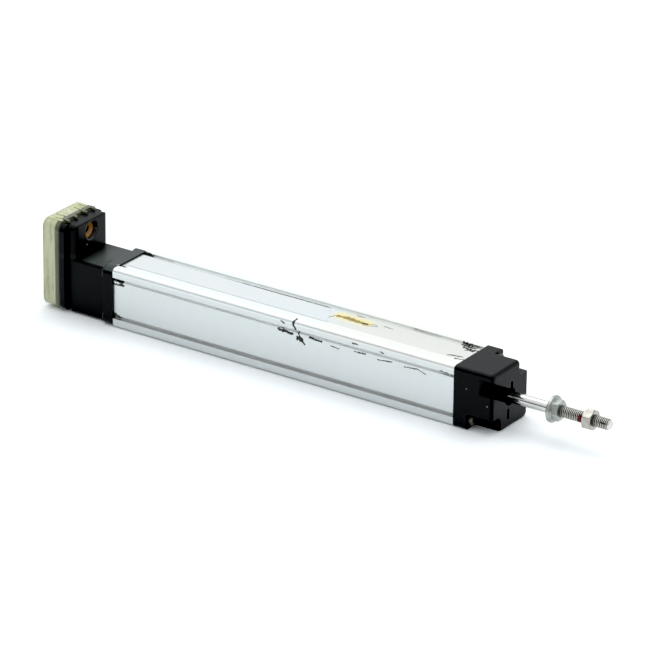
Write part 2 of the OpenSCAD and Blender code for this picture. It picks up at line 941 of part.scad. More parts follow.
// Internal leads from the board, through the plate and the neck, up to the poles
module leads() {
    x_up = x_frame - block_l + 1.6 + clamp_s / 2;
    x_bend = x_up + lead_bend_r;
    x_board = x_profile + 4;
    color([0.70, 0.15, 0.12])
        for (i = [0:poles - 1]) {
            bar_x(x_bend, x_board - x_bend, lead_r, pole_y(i), lead_z);
            translate([x_bend, pole_y(i), lead_z + lead_bend_r])
                rotate([90, 0, 0])
                    rotate([0, 0, 180])
                        rotate_extrude(angle = 90)
                            translate([lead_bend_r, 0])
                                circle(r = lead_r);
            translate([x_up, pole_y(i), lead_z + lead_bend_r])
                cylinder(h = block_z0 + 1.6 - lead_z - lead_bend_r, r = lead_r);
        }
}

// Rubber plug that seals the leads where they pass the plate
module lead_seal() {
    color([0.20, 0.20, 0.20])
        difference() {
            block(
                [x_profile - plate_wall, -lead_seal_w / 2, lead_z - lead_seal_h / 2],
                [plate_wall, lead_seal_w, lead_seal_h]
            );
            for (i = [0:poles - 1])
                bar_x(x_profile - plate_wall - eps, plate_wall + 2 * eps, lead_r, pole_y(i), lead_z);
        }
}

// Amber rubber ring that grips the cable in its entry
module cable_seal() {
    color([0.75, 0.45, 0.10])
        translate([x_box + lip_t, 0, entry_z])
            rotate([0, 90, 0])
                rotate_extrude()
                    polygon([
                        [cable_r, 0],
                        [seal_r, 0],
                        [seal_r, cable_seal_t],
                        [seal_r - 0.6, cable_seal_t],
                        [cable_r + 0.8, cable_seal_t - 0.9],
                        [cable_r, cable_seal_t - 1.2]
                    ]);
}

// Flat seal between the cover's skirt and the frame's step
module cover_seal() {
    inset = 0.4;
    color([0.14, 0.14, 0.14])
        along_x(x_skirt - cover_seal_t, cover_seal_t)
            difference() {
                translate([0, frame_mid_z])
                    polygon(round_rect(profile_w - inset, frame_h - inset, frame_edge_r, 8));
                translate([0, cover_mid_z])
                    polygon(round_rect(inner_w, inner_h, inner_r, 8));
            }
}

// Spring tongue of the cover, with a window that its catch stands in
module tongue(y) {
    z0 = box_h + 0.15;
    t = 1.25;
    x0 = x_skirt - cover_seal_t - 2;
    l = x_box - 0.6 - x0;
    difference() {
        block([x0, y - tongue_w / 2, z0], [l, tongue_w, t]);
        block([x_skirt, y - tongue_w / 2 + 1.5, z0 - eps], [2.3, tongue_w - 3, t + 2 * eps]);
    }
}

// Clear clip-on cover over the terminals
module cover() {
    skirt_end = x_skirt - cover_seal_t;
    outer_h = inner_h + 2 * (cover_t + cover_clear);
    color([0.80, 0.81, 0.62, 0.55])
        difference() {
            union() {
                along_x(x_cover + cover_t, skirt_end - x_cover - cover_t)
                    translate([0, cover_mid_z])
                        polygon(round_rect(profile_w, outer_h, cover_r, 8));
                for (a = [30:30:90]) {
                    inset = cover_t * (1 - cos(a - 15));
                    along_x(x_cover + cover_t * (1 - sin(a)), cover_t * sin(a) + eps)
                        translate([0, cover_mid_z])
                            polygon(round_rect(profile_w - 2 * inset, outer_h - 2 * inset, cover_r, 8));
                }
                for (s = [-1, 1])
                    tongue(s * tongue_pitch / 2);
            }
            along_x(x_cover + cover_t, cover_l + skirt_l)
                translate([0, cover_mid_z])
                    polygon(round_rect(inner_w + 2 * cover_clear, inner_h + 2 * cover_clear, inner_r, 8));
        }
}

profile();
front_flange();
front_gasket();
bearing_bush();
rod_seal();
seal_retainer();
front_screws();
front_damper();
rear_housing();
rear_gasket();
rear_screws();
rear_damper();
track_board();
resistance_tracks();
carrier();
slide_shoes();
wiper();
wiper_rivets();
rod();
coupling_rings();
flange_nut();
lock_nut();
terminal_frame();
terminal_block();
terminal_clamps();
terminal_screws();
leads();
lead_seal();
cable_seal();
cover_seal();
cover();
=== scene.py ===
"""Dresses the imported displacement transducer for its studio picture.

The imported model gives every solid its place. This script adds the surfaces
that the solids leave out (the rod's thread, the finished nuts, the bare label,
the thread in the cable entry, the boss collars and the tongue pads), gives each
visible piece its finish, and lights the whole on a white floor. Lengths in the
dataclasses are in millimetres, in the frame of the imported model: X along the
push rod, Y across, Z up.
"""

import logging
import math
from dataclasses import dataclass, field
from enum import Enum
from typing import Any, Callable, Sequence

import bpy
import numpy as np
from mathutils import Matrix, Vector


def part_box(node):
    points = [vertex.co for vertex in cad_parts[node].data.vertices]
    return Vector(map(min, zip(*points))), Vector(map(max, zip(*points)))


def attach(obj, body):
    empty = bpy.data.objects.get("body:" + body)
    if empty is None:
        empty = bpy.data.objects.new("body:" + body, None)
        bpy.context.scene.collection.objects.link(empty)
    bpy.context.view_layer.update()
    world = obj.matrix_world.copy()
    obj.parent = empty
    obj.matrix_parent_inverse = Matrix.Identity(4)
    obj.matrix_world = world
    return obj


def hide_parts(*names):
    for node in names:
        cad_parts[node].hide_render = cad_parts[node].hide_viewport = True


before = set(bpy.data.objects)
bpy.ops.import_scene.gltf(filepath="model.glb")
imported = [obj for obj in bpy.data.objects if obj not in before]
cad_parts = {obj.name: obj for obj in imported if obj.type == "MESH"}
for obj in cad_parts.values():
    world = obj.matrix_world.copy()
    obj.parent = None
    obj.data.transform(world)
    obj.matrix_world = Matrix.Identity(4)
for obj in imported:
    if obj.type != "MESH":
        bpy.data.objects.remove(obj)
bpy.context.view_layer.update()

MM = 0.001
LOG = logging.getLogger("transducer")

Colour = tuple[float, float, float]
Point = tuple[float, float, float]
Socket = bpy.types.NodeSocket


class Body(str, Enum):
    """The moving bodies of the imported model."""

    HOUSING = "housing"
    SLIDER = "slider"
    PUSH_ROD = "push_rod"


class Axis(int, Enum):
    """The three axes of the frame, as array indices."""

    X = 0
    Y = 1
    Z = 2


class Ends(Enum):
    """How the first and last row of a skinned grid are closed."""

    POLES = "poles"
    RING = "ring"


def low(node: str, axis: Axis) -> float:
    """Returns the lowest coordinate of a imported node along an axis, in millimetres."""
    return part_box(node)[0][axis] / MM


def high(node: str, axis: Axis) -> float:
    """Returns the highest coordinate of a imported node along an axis, in millimetres."""
    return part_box(node)[1][axis] / MM


class Tree:
    """A shader node tree with short calls that add nodes and join them."""

    def __init__(self, tree: bpy.types.NodeTree) -> None:
        """Takes the node tree to build in.

        Args:
            tree: the tree of a material, a world or a node group.
        """
        self.tree = tree

    def node(self, kind: str, values: dict[Any, Any] | None = None, **settings: Any) -> bpy.types.Node:
        """Adds one node.

        Args:
            kind: the node's type name.
            values: an input's name or index, with a number or colour, or a socket to link.
            settings: properties of the node itself.

        Returns:
            The new node.
        """
        made = self.tree.nodes.new(kind)
        for name, setting in settings.items():
            setattr(made, name, setting)
        for key, value in (values or {}).items():
            self.feed(made.inputs[key], value)
        return made

    def feed(self, target: Socket, value: Any) -> None:
        """Links a socket to an input, or sets the input to a number or colour.

        Args:
            target: the input.
            value: an output socket, a number, or a sequence of numbers.
        """
        if isinstance(value, bpy.types.NodeSocket):
            self.tree.links.new(value, target)
        elif target.type == "RGBA" and len(value) == 3:
            target.default_value = (*value, 1.0)
        else:
            target.default_value = value

    def math(self, operation: str, a: Any, b: Any = 0.0, c: Any = 0.0, clamp: bool = False) -> Socket:
        """Returns the result of one Math node on up to three values."""
        values = {0: a, 1: b, 2: c}
        return self.node("ShaderNodeMath", values, operation=operation, use_clamp=clamp).outputs[0]

    def vector(self, operation: str, a: Any, b: Any = (0.0, 0.0, 0.0)) -> Socket:
        """Returns the vector result of one Vector Math node on two vectors."""
        return self.node("ShaderNodeVectorMath", {0: a, 1: b}, operation=operation).outputs["Vector"]

    def measure(self, operation: str, a: Any, b: Any = (0.0, 0.0, 0.0)) -> Socket:
        """Returns the number that a Vector Math node gives, such as a length or a dot product."""
        return self.node("ShaderNodeVectorMath", {0: a, 1: b}, operation=operation).outputs["Value"]

    def scaled(self, vector: Any, factor: float) -> Socket:
        """Returns a vector times a number."""
        values = {0: vector, "Scale": factor}
        return self.node("ShaderNodeVectorMath", values, operation="SCALE").outputs["Vector"]

    def step(self, value: Any, start: Any, end: Any, at_start: Any = 0.0, at_end: Any = 1.0) -> Socket:
        """Maps a value smoothly from one range to another.

        Args:
            value: the value that runs.
            start: where the step starts.
            end: where the step ends.
            at_start: the result up to the start.
            at_end: the result from the end on.

        Returns:
            The mapped value.
        """
        values = {"Value": value, "From Min": start, "From Max": end, "To Min": at_start, "To Max": at_end}
        made = self.node("ShaderNodeMapRange", values, interpolation_type="SMOOTHSTEP")
        return made.outputs["Result"]

    def mix(self, mask: Any, under: Any, over: Any) -> Socket:
        """Returns the colour over laid on the colour under where the mask is one."""
        made = self.node("ShaderNodeMix", data_type="RGBA")
        for name, value in (("Factor", mask), ("A", under), ("B", over)):
            kind = "VALUE" if name == "Factor" else "RGBA"
            target = next(s for s in made.inputs if s.name == name and s.type == kind)
            self.feed(target, value)
        return next(s for s in made.outputs if s.type == "RGBA")

    def noise(self, vector: Any, scale: float, detail: float = 2.0, distortion: float = 0.0) -> Socket:
        """Returns a fractal noise value from 0 to 1 at the given scale."""
        values = {"Vector": vector, "Scale": scale, "Detail": detail, "Distortion": distortion}
        return self.node("ShaderNodeTexNoise", values).outputs["Fac"]

    def parts(self, vector: Any) -> tuple[Socket, Socket, Socket]:
        """Returns the three coordinates of a vector."""
        made = self.node("ShaderNodeSeparateXYZ", {0: vector})
        return made.outputs[0], made.outputs[1], made.outputs[2]

    def place(self) -> Socket:
        """Returns the shaded point in the frame of the model, in millimetres."""
        return self.scaled(self.node("ShaderNodeTexCoord").outputs["Object"], 1 / MM)

    def use(self, group: bpy.types.NodeTree, **values: Any) -> bpy.types.Node:
        """Places a node group with its named inputs, where _ stands for a space."""
        made = self.node("ShaderNodeGroup", node_tree=group)
        for name, value in values.items():
            self.feed(made.inputs[name.replace("_", " ")], value)
        return made


class Effects:
    """The shader node groups that several finishes share, each built once."""

    def __init__(self) -> None:
        """Builds every group."""
        self.edges = self._group("softened_edges", self._edges, {"Radius": 0.0003, "Reach": 4.0})
        self.grain = self._group("fine_grain", self._grain, {"Point": None, "Scale": 1.0, "Contrast": 1.0})
        self.dust = self._group("settled_dust", self._dust, {"Point": None, "Amount": 0.2, "Scale": 0.6})
        self.drawn = self._group("drawn_lines", self._drawn, {"Point": None, "Pitch": 8.0, "Stretch": 0.02})
        self.stroke = self._group(
            "worn_stroke",
            self._stroke,
            {"Point": None, "Start": None, "End": None, "Width": 0.5, "Swell": 1.0, "Core": 0.7, "Under": 0.0},
        )
        self.scuffs = self._group("scuffs", self._scuffs, {"Point": None, "Scale": 0.3, "Amount": 0.3})

    def _group(
        self, name: str, fill: Callable[[Tree, Any], dict[str, Socket]], inputs: dict[str, float | None]
    ) -> bpy.types.NodeTree:
        """Makes one node group.

        Args:
            name: the group's name.
            fill: builds the nodes from the inputs' sockets and returns the named outputs.
            inputs: each input with its number, or None for a vector.

        Returns:
            The group's node tree.
        """
        tree = bpy.data.node_groups.new(name, "ShaderNodeTree")
        for label, value in inputs.items():
            kind = "NodeSocketVector" if value is None else "NodeSocketFloat"
            made = tree.interface.new_socket(name=label, in_out="INPUT", socket_type=kind)
            if value is not None:
                made.default_value = value
        build = Tree(tree)
        source = build.node("NodeGroupInput")
        outputs = fill(build, source.outputs)
        for label in outputs:
            kind = "NodeSocketVector" if label == "Normal" else "NodeSocketFloat"
            tree.interface.new_socket(name=label, in_out="OUTPUT", socket_type=kind)
        build.node("NodeGroupOutput", dict(outputs))
        return tree

    @staticmethod
    def _edges(t: Tree, given: Any) -> dict[str, Socket]:
        """Rounds the shading over edges and marks them, from how far the rounded normal turns."""
        bevel = t.node("ShaderNodeBevel", {"Radius": given["Radius"]}, samples=6)
        flat = t.node("ShaderNodeNewGeometry").outputs["True Normal"]
        turned = t.math("SUBTRACT", 1.0, t.measure("DOT_PRODUCT", bevel.outputs[0], flat))
        mask = t.math("MULTIPLY", turned, given["Reach"], clamp=True)
        return {"Mask": mask, "Normal": bevel.outputs[0]}

    @staticmethod
    def _grain(t: Tree, given: Any) -> dict[str, Socket]:
        """Gives a fine and a coarse noise added to one height."""
        fine = t.node(
            "ShaderNodeTexNoise", {"Vector": given["Point"], "Scale": given["Scale"], "Detail": 4.0}
        ).outputs["Fac"]
        coarse = t.noise(given["Point"], 0.35, 3.0)
        both = t.math("MULTIPLY_ADD", coarse, 0.5, t.math("MULTIPLY", fine, 0.5))
        centred = t.math("SUBTRACT", both, 0.5)
        value = t.math("MULTIPLY_ADD", centred, given["Contrast"], 0.5, clamp=True)
        return {"Value": value, "Height": fine}

    @staticmethod
    def _dust(t: Tree, given: Any) -> dict[str, Socket]:
        """Marks specks and smears that lie on faces looking upwards."""
        up = t.parts(t.node("ShaderNodeNewGeometry").outputs["Normal"])[2]
        lies = t.step(up, 0.2, 0.9)
        values = {"Vector": given["Point"], "Scale": given["Scale"], "Detail": 6.0}
        cloud = t.node("ShaderNodeTexNoise", values).outputs["Fac"]
        smear = t.step(cloud, 0.48, 0.75)
        speck = t.step(t.noise(given["Point"], 3.1, 1.0), 0.68, 0.74)
        both = t.math("MAXIMUM", t.math("MULTIPLY", smear, 0.6), speck)
        return {"Mask": t.math("MULTIPLY", t.math("MULTIPLY", both, lies), given["Amount"], clamp=True)}

    @staticmethod
    def _drawn(t: Tree, given: Any) -> dict[str, Socket]:
        """Gives long fine lines along X, from a noise squeezed along that axis."""
        x, y, z = t.parts(given["Point"])
        squeezed = t.node("ShaderNodeCombineXYZ", {0: t.math("MULTIPLY", x, given["Stretch"]), 1: y, 2: z})
        values = {"Vector": squeezed.outputs[0], "Scale": given["Pitch"], "Detail": 3.0}
        line = t.node("ShaderNodeTexNoise", values).outputs["Fac"]
        return {"Value": line}

    @staticmethod
    def _stroke(t: Tree, given: Any) -> dict[str, Socket]:
        """Marks what lies within a width of the straight line from one point to another.

        Swell is a factor on the width, and Core the share of the width that is
        fully marked. The mask of the strokes under it pushes a stroke aside by
        a hair where they cross, and is laid under its own mask.
        """
        run = t.vector("SUBTRACT", given["End"], given["Start"])
        pushed = t.node("ShaderNodeVectorMath", {0: (0.04, 0.0, 0.04), "Scale": given["Under"]}, operation="SCALE")
        offset = t.vector("SUBTRACT", t.vector("ADD", given["Point"], pushed.outputs[0]), given["Start"])
        share = t.math(
            "DIVIDE", t.measure("DOT_PRODUCT", offset, run), t.measure("DOT_PRODUCT", run, run), clamp=True
        )
        nearest = t.node("ShaderNodeVectorMath", {0: run, "Scale": share}, operation="SCALE").outputs[0]
        away = t.measure("LENGTH", t.vector("SUBTRACT", offset, nearest))
        edge = t.math("MULTIPLY", t.math("MULTIPLY", given["Width"], 0.5), given["Swell"])
        inner = t.math("MULTIPLY", edge, given["Core"])
        return {"Mask": t.math("MAXIMUM", given["Under"], t.step(away, inner, edge, 1.0, 0.0))}

    @staticmethod
    def _scuffs(t: Tree, given: Any) -> dict[str, Socket]:
        """Marks a few short dull rubs, where two noises are high together."""
        values = {"Vector": given["Point"], "Scale": given["Scale"], "Detail": 5.0, "Distortion": 0.8}
        patch = t.step(t.node("ShaderNodeTexNoise", values).outputs["Fac"], 0.55, 0.7)
        fibre = t.step(t.noise(given["Point"], 2.7, 4.0, 1.5), 0.45, 0.62)
        return {"Mask": t.math("MULTIPLY", t.math("MULTIPLY", patch, fibre), given["Amount"], clamp=True)}


@dataclass(frozen=True)
class Mark:
    """A chip, scratch or line of dirt on the surface, as a stroke of real size.

    Attributes:
        start: one end of the stroke.
        end: the other end.
        width: its full width.
    """

    start: Point
    end: Point
    width: float


def near(x0: float, z0: float, x1: float, z1: float, width: float) -> Mark:
    """Returns a mark on the near side of the profile, laid flat into the XZ plane."""
    return Mark((x0, 0.0, z0), (x1, 0.0, z1), width)


def top(x0: float, y0: float, x1: float, y1: float, width: float) -> Mark:
    """Returns a mark on the top of the profile, laid flat into the XY plane."""
    return Mark((x0, y0, 0.0), (x1, y1, 0.0), width)


@dataclass(frozen=True)
class Finish:
    """What every finish shares: its name and how it starts a material.

    Attributes:
        name: the material's name.
    """

    name: str

    def start(self) -> tuple[bpy.types.Material, Tree, bpy.types.Node]:
        """Makes an empty material with one Principled BSDF joined to its output.

        Returns:
            The material, its node tree and the Principled BSDF.
        """
        material = bpy.data.materials.new(self.name)
        material.use_nodes = True
        material.node_tree.nodes.clear()
        tree = Tree(material.node_tree)
        shader = tree.node("ShaderNodeBsdfPrincipled")
        tree.node("ShaderNodeOutputMaterial", {"Surface": shader.outputs[0]})
        return material, tree, shader

    @staticmethod
    def strokes(
        t: Tree, effects: Effects, point: Any, marks: Sequence[Mark], swell: Any = 1.0, core: float = 0.7
    ) -> Socket:
        """Returns one mask of several marks, the highest of their strokes.

        Args:
            t: the tree.
            effects: the shared node groups.
            point: the place to test, already warped by a noise.
            marks: the marks.
            swell: a factor on every width.
            core: the share of each width that is fully marked.

        Returns:
            The mask.
        """
        mask: Any = 0.0
        for mark in marks:
            values = {"Start": mark.start, "End": mark.end, "Width": mark.width, "Swell": swell, "Core": core}
            mask = t.use(effects.stroke, Point=point, Under=mask, **values).outputs["Mask"]
        return mask

    @staticmethod
    def bump(t: Tree, height: Any, distance: float, strength: float, normal: Any = None) -> Socket:
        """Returns the normal that a height gives.

        Args:
            t: the tree.
            height: the height's socket.
            distance: how far one unit of height stands out, in millimetres.
            strength: the share of the effect.
            normal: the normal to start from, or None for the surface's own.

        Returns:
            The bumped normal.
        """
        values = {"Height": height, "Distance": distance * MM, "Strength": strength}
        made = t.node("ShaderNodeBump", values)
        if normal is not None:
            t.feed(made.inputs["Normal"], normal)
        return made.outputs["Normal"]


@dataclass(frozen=True)
class AnodisedExtrusion(Finish):
    """Satin anodised aluminium with drawing lines, dirty grooves, chips and old glue, with a painted highlight down
    in the grooves and painted shade in the near side's lower groove.

    Attributes:
        base: the metal's colour.
        dirt: the colour of the dirt in the grooves, also used for the painted shade in the lower groove of the near
            side.
        chip: the colour of the chips and scratches.
        glue: the colour of the glue stain.
        bare: the colour of the bare metal ahead of the label.
        pale: the pale colour painted down in the grooves, a painted highlight that lightens their shade.
        half_width: half the width of the square section.
        panel_drop: step from the corner bars down to the panels.
        side_marks: the chips, scratches and dirt lines of the near side.
        top_marks: those of the top.
        glue_marks: the strokes that make the glue stain.
        burnt_marks: the darker strokes in the stain.
    """

    base: Colour = (0.70, 0.735, 0.73)
    dirt: Colour = (0.11, 0.11, 0.105)
    chip: Colour = (0.022, 0.021, 0.019)
    glue: Colour = (0.72, 0.60, 0.12)
    burnt: Colour = (0.20, 0.14, 0.02)
    bare: Colour = (0.70, 0.70, 0.665)
    pale: Colour = (0.95, 0.96, 0.95)
    half_width: float = 16.5
    panel_drop: float = 0.9
    side_marks: tuple[Mark, ...] = (
        # Dash, blots and the link between them
        near(-18.6, 25.5, -10.3, 24.9, 1.7),
        near(-17.4, 25.5, -14.0, 25.2, 1.5),
        near(-8.6, 33.0, -9.4, 30.6, 1.3),
        near(-9.4, 30.8, -7.6, 28.3, 1.9),
        near(-7.4, 27.4, -5.8, 25.0, 0.8),
        near(-7.0, 23.2, -4.4, 22.9, 2.4),
        near(-5.8, 24.6, -2.8, 21.2, 1.3),
        near(-16.6, 30.8, -14.4, 30.0, 0.8),
        near(0.4, 25.6, 7.6, 25.2, 1.2),
        # Fine scratches towards the front
        near(13.4, 24.3, 18.5, 23.9, 0.6),
        near(27.6, 25.0, 34.1, 25.2, 1.0),
        near(27.2, 29.7, 30.0, 29.7, 0.9),
        near(41.7, 24.1, 50.2, 25.0, 0.6),
        near(43.6, 29.3, 45.4, 28.8, 0.9),
        near(57.7, 24.4, 65.6, 25.1, 0.65),
        near(65.6, 25.1, 70.6, 23.5, 0.65),
        # Torn edge and dirt at the two ends of the side's grooves
        near(-122.8, 26.9, -117.4, 26.4, 2.0),
        near(-122.8, 24.2, -116.4, 24.7, 1.2),
        near(79.6, 27.9, 87.5, 27.2, 1.5),
        near(-122.8, 7.2, -119.0, 6.2, 2.4),
    )
    top_marks: tuple[Mark, ...] = (
        # Lines along the far groove
        top(-122.8, 11.8, -116.7, 10.7, 1.9),
        top(-113.9, 10.7, -105.0, 10.6, 0.9),
        top(45.0, 10.0, 61.4, 11.0, 0.7),
        # Gouges by the front flange
        top(75.8, 10.4, 82.6, 9.2, 3.6),
        top(78.4, 7.4, 84.2, 5.6, 2.0),
        top(80.6, 5.0, 87.6, 7.9, 1.4),
        top(76.4, -5.0, 83.8, -3.3, 1.0),
        top(82.0, -6.8, 87.5, -5.4, 1.2),
        top(20.4, 2.3, 22.6, 2.5, 1.6),
        top(22.4, 2.9, 27.5, 4.8, 0.5),
        top(2.0, -1.2, 3.6, 2.6, 0.7),
        top(-123.6, -9.3, -120.1, -9.0, 1.4),
        top(78.0, -4.0, 81.5, -3.8, 0.8),
        # Small grey marks on the bare metal
        top(-19.6, 3.8, -15.2, 4.3, 0.6),
        top(12.9, 8.6, 17.0, 9.0, 0.7),
        top(31.8, 5.6, 36.6, 5.2, 0.8),
        top(22.3, 0.4, 28.8, 3.4, 0.6),
    )
    glue_marks: tuple[Mark, ...] = (
        top(6.0, 4.2, 22.5, 3.2, 12.0),
    )
    burnt_marks: tuple[Mark, ...] = (
        top(5.0, 3.0, 10.3, 3.5, 3.6),
        top(10.3, 3.5, 16.1, 2.9, 4.4),
        top(16.1, 2.9, 22.4, 2.5, 3.6),
    )

    def build(self, effects: Effects) -> bpy.types.Material:
        """Makes the material.

        Args:
            effects: the shared node groups.

        Returns:
            The material.
        """
        material, t, shader = self.start()
        point = t.place()
        x, y, z = t.parts(point)
        across = t.math("ABSOLUTE", y)
        upright = t.math("ABSOLUTE", t.math("SUBTRACT", z, self.half_width))
        depth = t.math("SUBTRACT", self.half_width, t.math("MAXIMUM", across, upright))
        groove = t.step(depth, self.panel_drop + 0.15, self.panel_drop + 0.9)
        lines = t.use(effects.drawn, Point=point, Pitch=6.0, Stretch=0.012)
        cloud = t.use(effects.grain, Point=point, Scale=1.2, Contrast=1.4)
        top_only = t.step(z, 30.4, 30.8)
        side_only = t.step(y, -13.6, -13.2, 1.0, 0.0)
        # Painted shade: the near side's lower groove is darkened more than the streaky dirt in every groove.
        low_groove_shade = t.math("MULTIPLY", t.step(z, 8.0, 9.0, 1.0, 0.0), side_only)
        dirt_run = t.step(t.noise(t.vector("MULTIPLY", point, (0.12, 1.0, 1.0)), 1.0, 5.0), 0.40, 0.72)
        share = t.math("MULTIPLY_ADD", low_groove_shade, 0.40, t.math("MULTIPLY_ADD", dirt_run, 0.12, 0.02))
        dirt = t.math("MULTIPLY", groove, share)
        warp = t.node("ShaderNodeTexNoise", {"Vector": point, "Scale": 1.6, "Detail": 4.0})
        shift = t.scaled(t.vector("SUBTRACT", warp.outputs["Color"], (0.5, 0.5, 0.5)), 0.5)
        ragged = t.vector("ADD", point, shift)
        on_side = t.vector("MULTIPLY", ragged, (1.0, 0.0, 1.0))
        on_top = t.vector("MULTIPLY", ragged, (1.0, 1.0, 0.0))
        swell = t.step(t.noise(point, 0.8, 3.0), 0.34, 0.64, 0.55, 1.4)
        side_chips = self.strokes(t, effects, on_side, self.side_marks, swell)
        side_chips = t.math("MULTIPLY", side_chips, side_only)
        top_chips = t.math("MULTIPLY", self.strokes(t, effects, on_top, self.top_marks, swell), top_only)
        broken = t.step(t.noise(point, 2.6, 3.0), 0.20, 0.30)
        chips = t.math("MULTIPLY", t.math("MAXIMUM", side_chips, top_chips), broken)
        glue = self.strokes(t, effects, on_top, self.glue_marks, 1.0, 0.15)
        glue_fade = t.math("MULTIPLY_ADD", t.noise(point, 0.6, 4.0), 0.7, 0.35, clamp=True)
        glue = t.math("MULTIPLY", t.math("MULTIPLY", glue, glue_fade), top_only)
        burnt = self.strokes(t, effects, on_top, self.burnt_marks, swell, 0.3)
        burnt = t.math("MULTIPLY", burnt, top_only)
        edges = t.use(effects.edges, Radius=0.25 * MM, Reach=3.0)
        shade = t.step(z, 4.0, 26.0, 0.90, 0.96)
        tone = t.math("MULTIPLY_ADD", cloud.outputs["Value"], 0.06, 0.97)
        tone = t.math("MULTIPLY", tone, shade)
        tone = t.math("MULTIPLY", tone, t.math("MULTIPLY_ADD", lines.outputs["Value"], 0.05, 0.975))
        strips = t.math("MAXIMUM", t.step(y, -7.4, -6.2, 1.0, 0.0), t.step(y, 11.0, 11.4))
        strips = t.math("MULTIPLY", strips, top_only)
        tone = t.math("MULTIPLY", tone, t.math("MULTIPLY_ADD", strips, 0.16, 1.0))
        warm = t.math("MULTIPLY", t.math("MULTIPLY", top_only, t.step(x, 2.0, 12.0)), 0.8)
        colour = t.mix(warm, self.base, self.bare)
        colour = self._toned(t, colour, tone)
        # Painted highlight: the grooves take a pale colour, and no metal sheen, to lighten the shade down in them.
        colour = t.mix(groove, colour, self.pale)
        colour = t.mix(dirt, colour, self.dirt)
        colour = t.mix(t.math("MULTIPLY", glue, 0.9), colour, self.glue)
        colour = t.mix(t.math("MULTIPLY", burnt, 0.9), colour, self.burnt)
        colour = t.mix(chips, colour, self.chip)
        covered = t.math("MAXIMUM", t.math("MAXIMUM", groove, chips), glue)
        t.feed(shader.inputs["Base Color"], colour)
        t.feed(shader.inputs["Metallic"], t.step(covered, 0.0, 1.0, 0.86, 0.0))
        rough = t.math("MULTIPLY_ADD", lines.outputs["Value"], 0.16, 0.30)
        t.feed(shader.inputs["Roughness"], t.math("MULTIPLY_ADD", covered, 0.35, rough, clamp=True))
        height = t.math("MULTIPLY_ADD", chips, -4.0, lines.outputs["Value"])
        t.feed(shader.inputs["Normal"], self.bump(t, height, 0.012, 0.5, edges.outputs["Normal"]))
        return material

    @staticmethod
    def _toned(t: Tree, colour: Any, tone: Any) -> Socket:
        """Returns a colour times a number."""
        return t.node("ShaderNodeVectorMath", {0: colour, "Scale": tone}, operation="SCALE").outputs[0]


